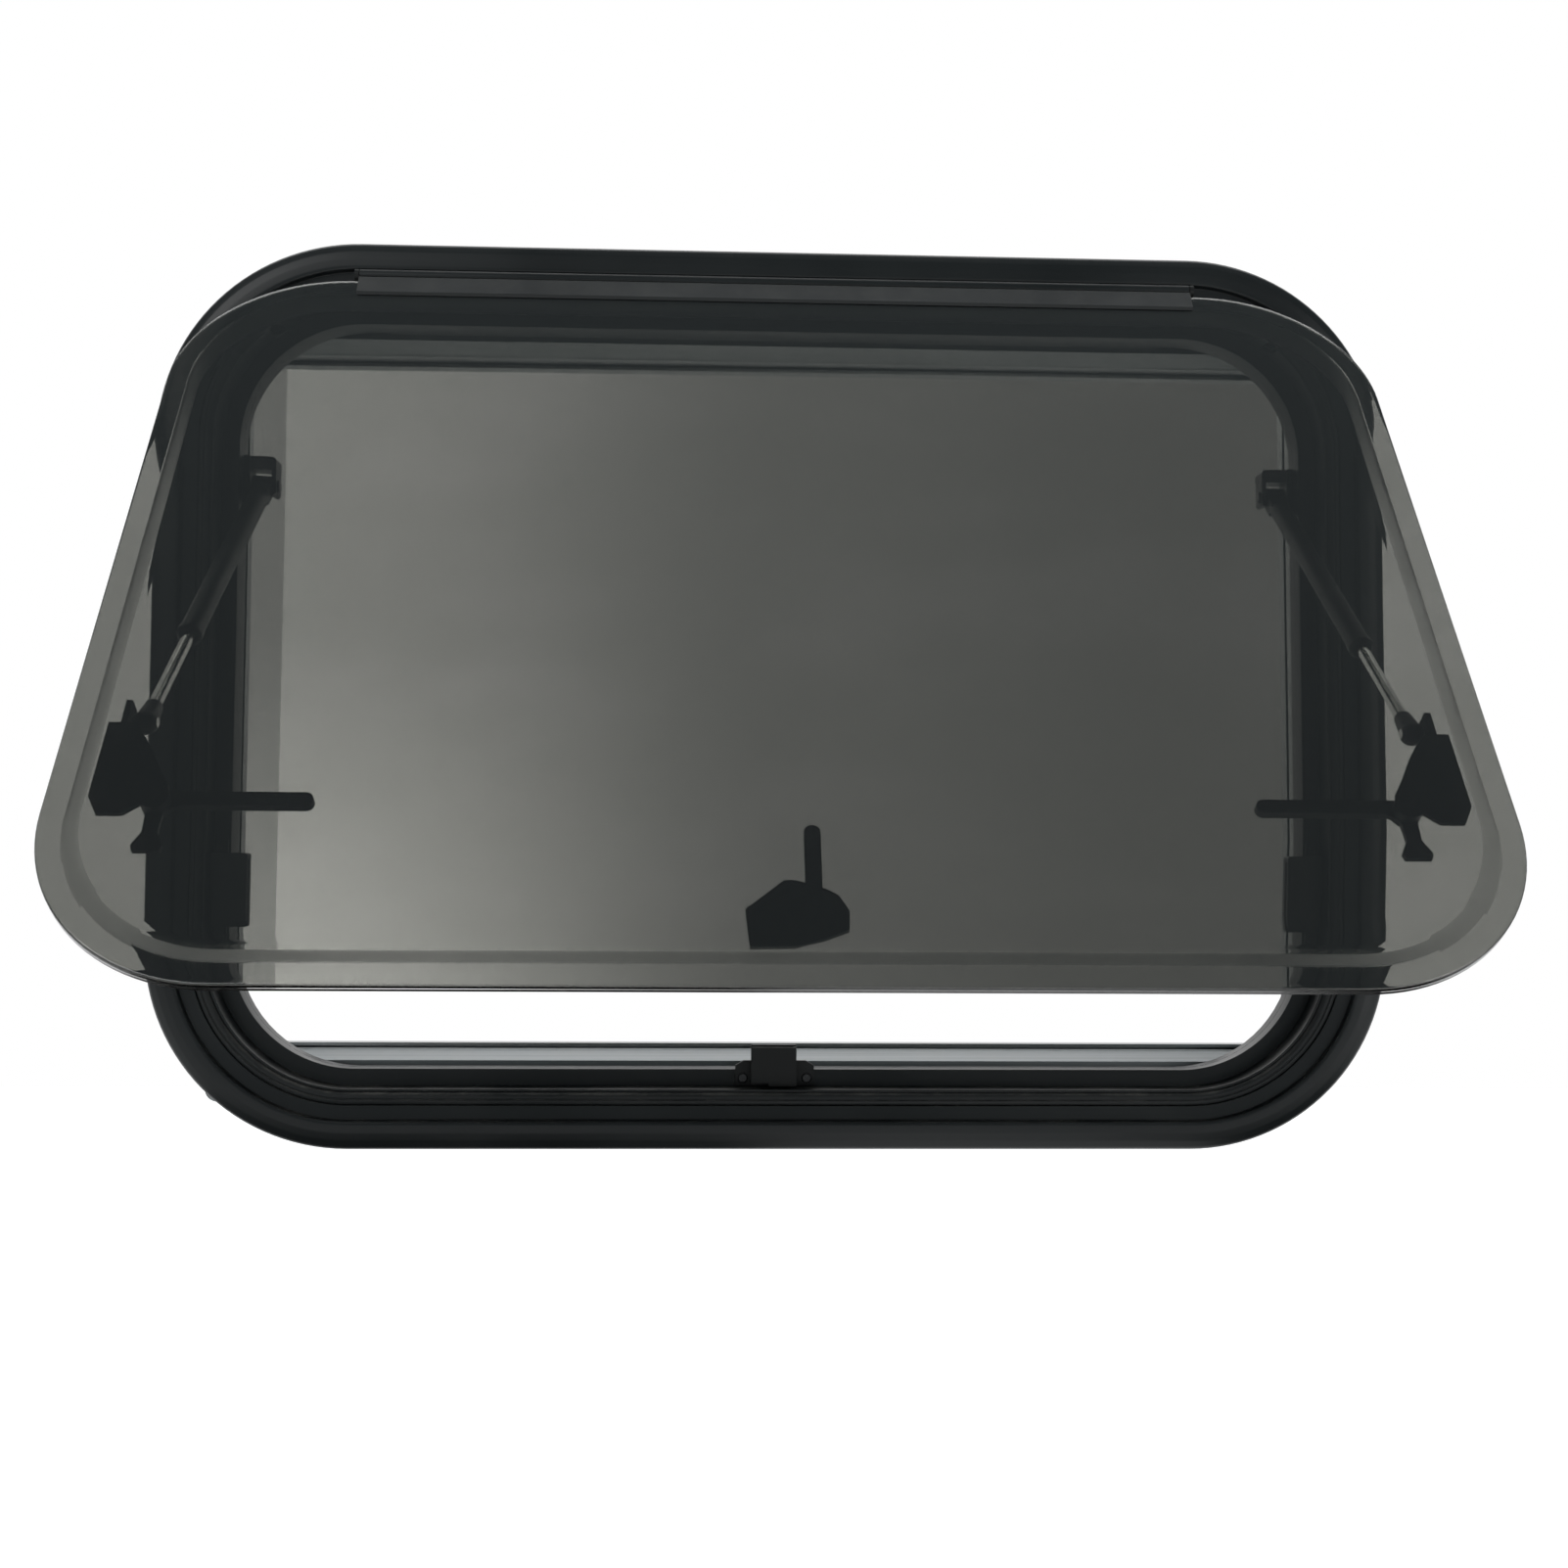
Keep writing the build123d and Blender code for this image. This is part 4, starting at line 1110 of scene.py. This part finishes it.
def dress_cad(frame: dict, finishes: Finishes) -> None:
    """Gives every CAD node its finish.

    Args:
        frame: What the frame's load gave back.
        finishes: The window's finishes.
    """
    for slot, names in CAD_FINISHES.items():
        for name in names:
            finishes.dress(frame["nodes"][name], slot)


# ---------------- studio
@dataclass(frozen=True)
class Softbox:
    """An area light.

    Args:
        name: Its name.
        place: Where it hangs, in metres.
        aim: The point it looks at.
        size: Its width and height.
        power: Its power in watts.
    """

    name: str
    place: tuple[float, float, float]
    aim: tuple[float, float, float]
    size: tuple[float, float]
    power: float

    def hang(self) -> None:
        """Adds the light."""
        bpy.ops.object.light_add(type="AREA", location=self.place)
        lamp = bpy.context.active_object
        lamp.name = self.name
        lamp.data.shape = "RECTANGLE"
        lamp.data.size, lamp.data.size_y = self.size
        lamp.data.energy = self.power
        towards = Vector(self.aim) - Vector(self.place)
        lamp.rotation_mode = "QUATERNION"
        lamp.rotation_quaternion = towards.to_track_quat("-Z", "Y")


@dataclass(frozen=True)
class Studio:
    """A pale floor, a pale backdrop, soft lights and the camera, all in metres.

    Args:
        floor_z: Height of the floor.
        lens_mm: The camera's focal length.
        eye: Where the camera stands.
        tilt_deg: Its turns about X, Y and Z from looking along +Y.
        room_size: Width and height of the card of painted light for the dim room and the pane's reflections.
        room_place: The middle of that room's card.
        strip_x: Where the darker strip at the room's left ends.
        strip_loss: The share of the light that it loses.
        flags: Name, width and middle along X of each dark card below the window.
        flag_long: How long those cards are, along Y.
        flag_at: Their depth and height.
        paper: The floor's glow and its whiteness.
        sky: Colour of the light from all round.
        sky_level: Its strength.
        boxes: The area lights.
    """

    floor_z: float = -0.62
    lens_mm: float = 41.216
    eye: tuple[float, float, float] = (-0.0382, -1.0760, -0.1049)
    tilt_deg: tuple[float, float, float] = (2.755, -0.356, -2.359)
    room_size: tuple[float, float] = (0.84, 0.59)
    room_place: tuple[float, float, float] = (0.005, 0.25, -0.005)
    strip_x: float = -0.353
    strip_loss: float = 0.42
    flags: tuple[tuple[str, float, float], ...] = (("flag_left", 0.66, -0.33), ("flag_right", 0.5, 0.62))
    flag_long: float = 0.9
    flag_at: tuple[float, float] = (-0.36, -0.52)
    paper: tuple[float, float] = (0.62, 0.8)
    sky: Colour = (0.82, 0.95, 1)
    sky_level: float = 0.30
    boxes: tuple[Softbox, ...] = (
        Softbox("front_left", (-1.6, -2.2, 1.4), (0, 0, 0), (1.4, 1.4), 26),
        Softbox("front_right", (1.9, -1.9, 0.4), (0, 0, 0), (0.8, 1.6), 16),
        Softbox("low_front", (0.42, -1.6, -0.72), (0.15, 0, -0.2), (0.6, 0.2), 6),
        Softbox("behind", (0.0, 1.4, 1.0), (0, 0, 0), (1.6, 1.0), 9),
        Softbox("above", (0.0, 0.25, 1.3), (0, -0.1, 0.2), (1.8, 0.5), 7),
    )

    def set_camera(self) -> None:
        """Adds the camera at the view of the open pane from outside."""
        data = bpy.data.cameras.new("camera")
        data.lens = self.lens_mm
        data.sensor_width = 36.0
        data.clip_start, data.clip_end = 0.01, 60.0
        camera = bpy.data.objects.new("camera", data)
        bpy.context.scene.collection.objects.link(camera)
        turn = Euler([math.radians(a) for a in self.tilt_deg], "XYZ").to_matrix().to_4x4()
        camera.matrix_world = Matrix.Translation(self.eye) @ turn @ Matrix.Rotation(math.pi / 2, 4, "X")
        bpy.context.scene.camera = camera

    def glow(self, name: str, level: float, base: float = 0.0) -> bpy.types.Material:
        """A plain white glowing material."""
        material, _, shader = start_material(name)
        shader.inputs["Base Color"].default_value = (base, base, base, 1)
        shader.inputs["Emission Color"].default_value = (1, 1, 1, 1)
        shader.inputs["Emission Strength"].default_value = level
        shader.inputs["Roughness"].default_value = 1.0
        shader.inputs["Specular IOR Level"].default_value = 0.0
        return material

    def card(
        self, name: str, size: tuple[float, float], place: tuple[float, float, float], stands: bool,
        material: bpy.types.Material, hidden_from: Iterable[str] = (),
    ) -> bpy.types.Object:
        """Adds a flat card that isn't part of the window.

        Args:
            name: Its name.
            size: Its width and its length or height.
            place: Its middle.
            stands: Whether it stands upright and isn't lying.
            material: Its material.
            hidden_from: The kinds of ray that pass through it.

        Returns:
            The card.
        """
        turn = (math.pi / 2 if stands else 0, 0, 0)
        bpy.ops.mesh.primitive_plane_add(size=1, location=place, rotation=turn)
        card = bpy.context.active_object
        card.name = name
        card.scale = (*size, 1)
        dress_with(card, material)
        for ray in hidden_from:
            setattr(card, f"visible_{ray}", False)
        return card

    def room_and_reflection_glow(self) -> bpy.types.Material:
        """Painted room light and painted reflection, seen only through the panes: bright low at the left, dim
        at the right.
        """
        material, net, shader = start_material("room_and_reflection_glow")
        parts = net.add("ShaderNodeSeparateXYZ", Vector=net.place())
        across, up = parts.outputs["X"], parts.outputs["Z"]
        from_left = net.range(across, -0.36, 0.02, 0.66, 0.0)
        left, low = net.range(across, -0.40, 0.02, 0.92, 0.0), net.range(up, -0.20, 0.10, 1.0, 0.0)
        low_left = net.math("MULTIPLY", left, low)
        right = net.range(across, -0.05, 0.34, 0.52, 0.36)
        level = net.math("ADD", net.math("ADD", from_left, low_left), right)
        screened = net.math("MULTIPLY", net.math("LESS_THAN", across, self.strip_x), self.strip_loss)
        level = net.math("MULTIPLY", level, net.math("SUBTRACT", 1.0, screened))
        shader.inputs["Base Color"].default_value = (0, 0, 0, 1)
        shader.inputs["Emission Color"].default_value = (1, 1, 1, 1)
        shader.inputs["Specular IOR Level"].default_value = 0.0
        net.put(level, shader.inputs["Emission Strength"])
        return material

    def room(self) -> None:
        """Adds the card of painted room light and painted reflection, which shows only through the panes."""
        rays = ("camera", "diffuse", "glossy", "shadow")
        settle(self.card("room", self.room_size, self.room_place, True, self.room_and_reflection_glow(), rays))

    def lay_flags(self) -> None:
        """Adds the dark cards that keep the floor's glare off the window's lower edges."""
        rays = ("camera", "diffuse", "transmission", "shadow")
        for name, width, middle in self.flags:
            place = (middle, *self.flag_at)
            self.card(name, (width, self.flag_long), place, False, self.glow(name, 0.0), rays)

    def build(self) -> None:
        """Adds the floor, the backdrop, the world and the lights."""
        paper, backdrop = self.glow("paper_white", *self.paper), self.glow("backdrop_white", 1.0)
        self.card("floor", (12, 12), (0, 1.0, self.floor_z), False, paper)
        self.card("backdrop", (14, 9), (0, 3.2, 1.5), True, backdrop)
        self.room()
        self.lay_flags()
        world = bpy.data.worlds.new("studio")
        bpy.context.scene.world = world
        world.use_nodes = True
        background = world.node_tree.nodes["Background"]
        background.inputs["Color"].default_value = rgba(self.sky)
        background.inputs["Strength"].default_value = self.sky_level
        for box in self.boxes:
            box.hang()
        bpy.context.scene.view_settings.view_transform = "Standard"


def main() -> None:
    """Builds every sub-assembly in order, then the studio."""
    logging.basicConfig(level=logging.INFO, format="%(name)s: %(message)s")
    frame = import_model()
    finishes = Finishes()
    dress_cad(frame, finishes)
    OuterFrame(finishes).build()
    DoublePane(finishes).build()
    RollerCloth(
        "blind_strip", "blind_cloth", "blind_bar", Slot.BLACKOUT_CLOTH, finishes.blackout_strip,
        roller_y=60.0, up=1,
    ).build()
    RollerCloth(
        "screen_strip", "screen_mesh", "screen_bar", Slot.SCREEN_CLOTH, finishes.screen_strip,
        roller_y=70.0, up=-1,
    ).build()
    studio = Studio()
    studio.set_camera()
    studio.build()


if __name__ == "__main__":
    main()
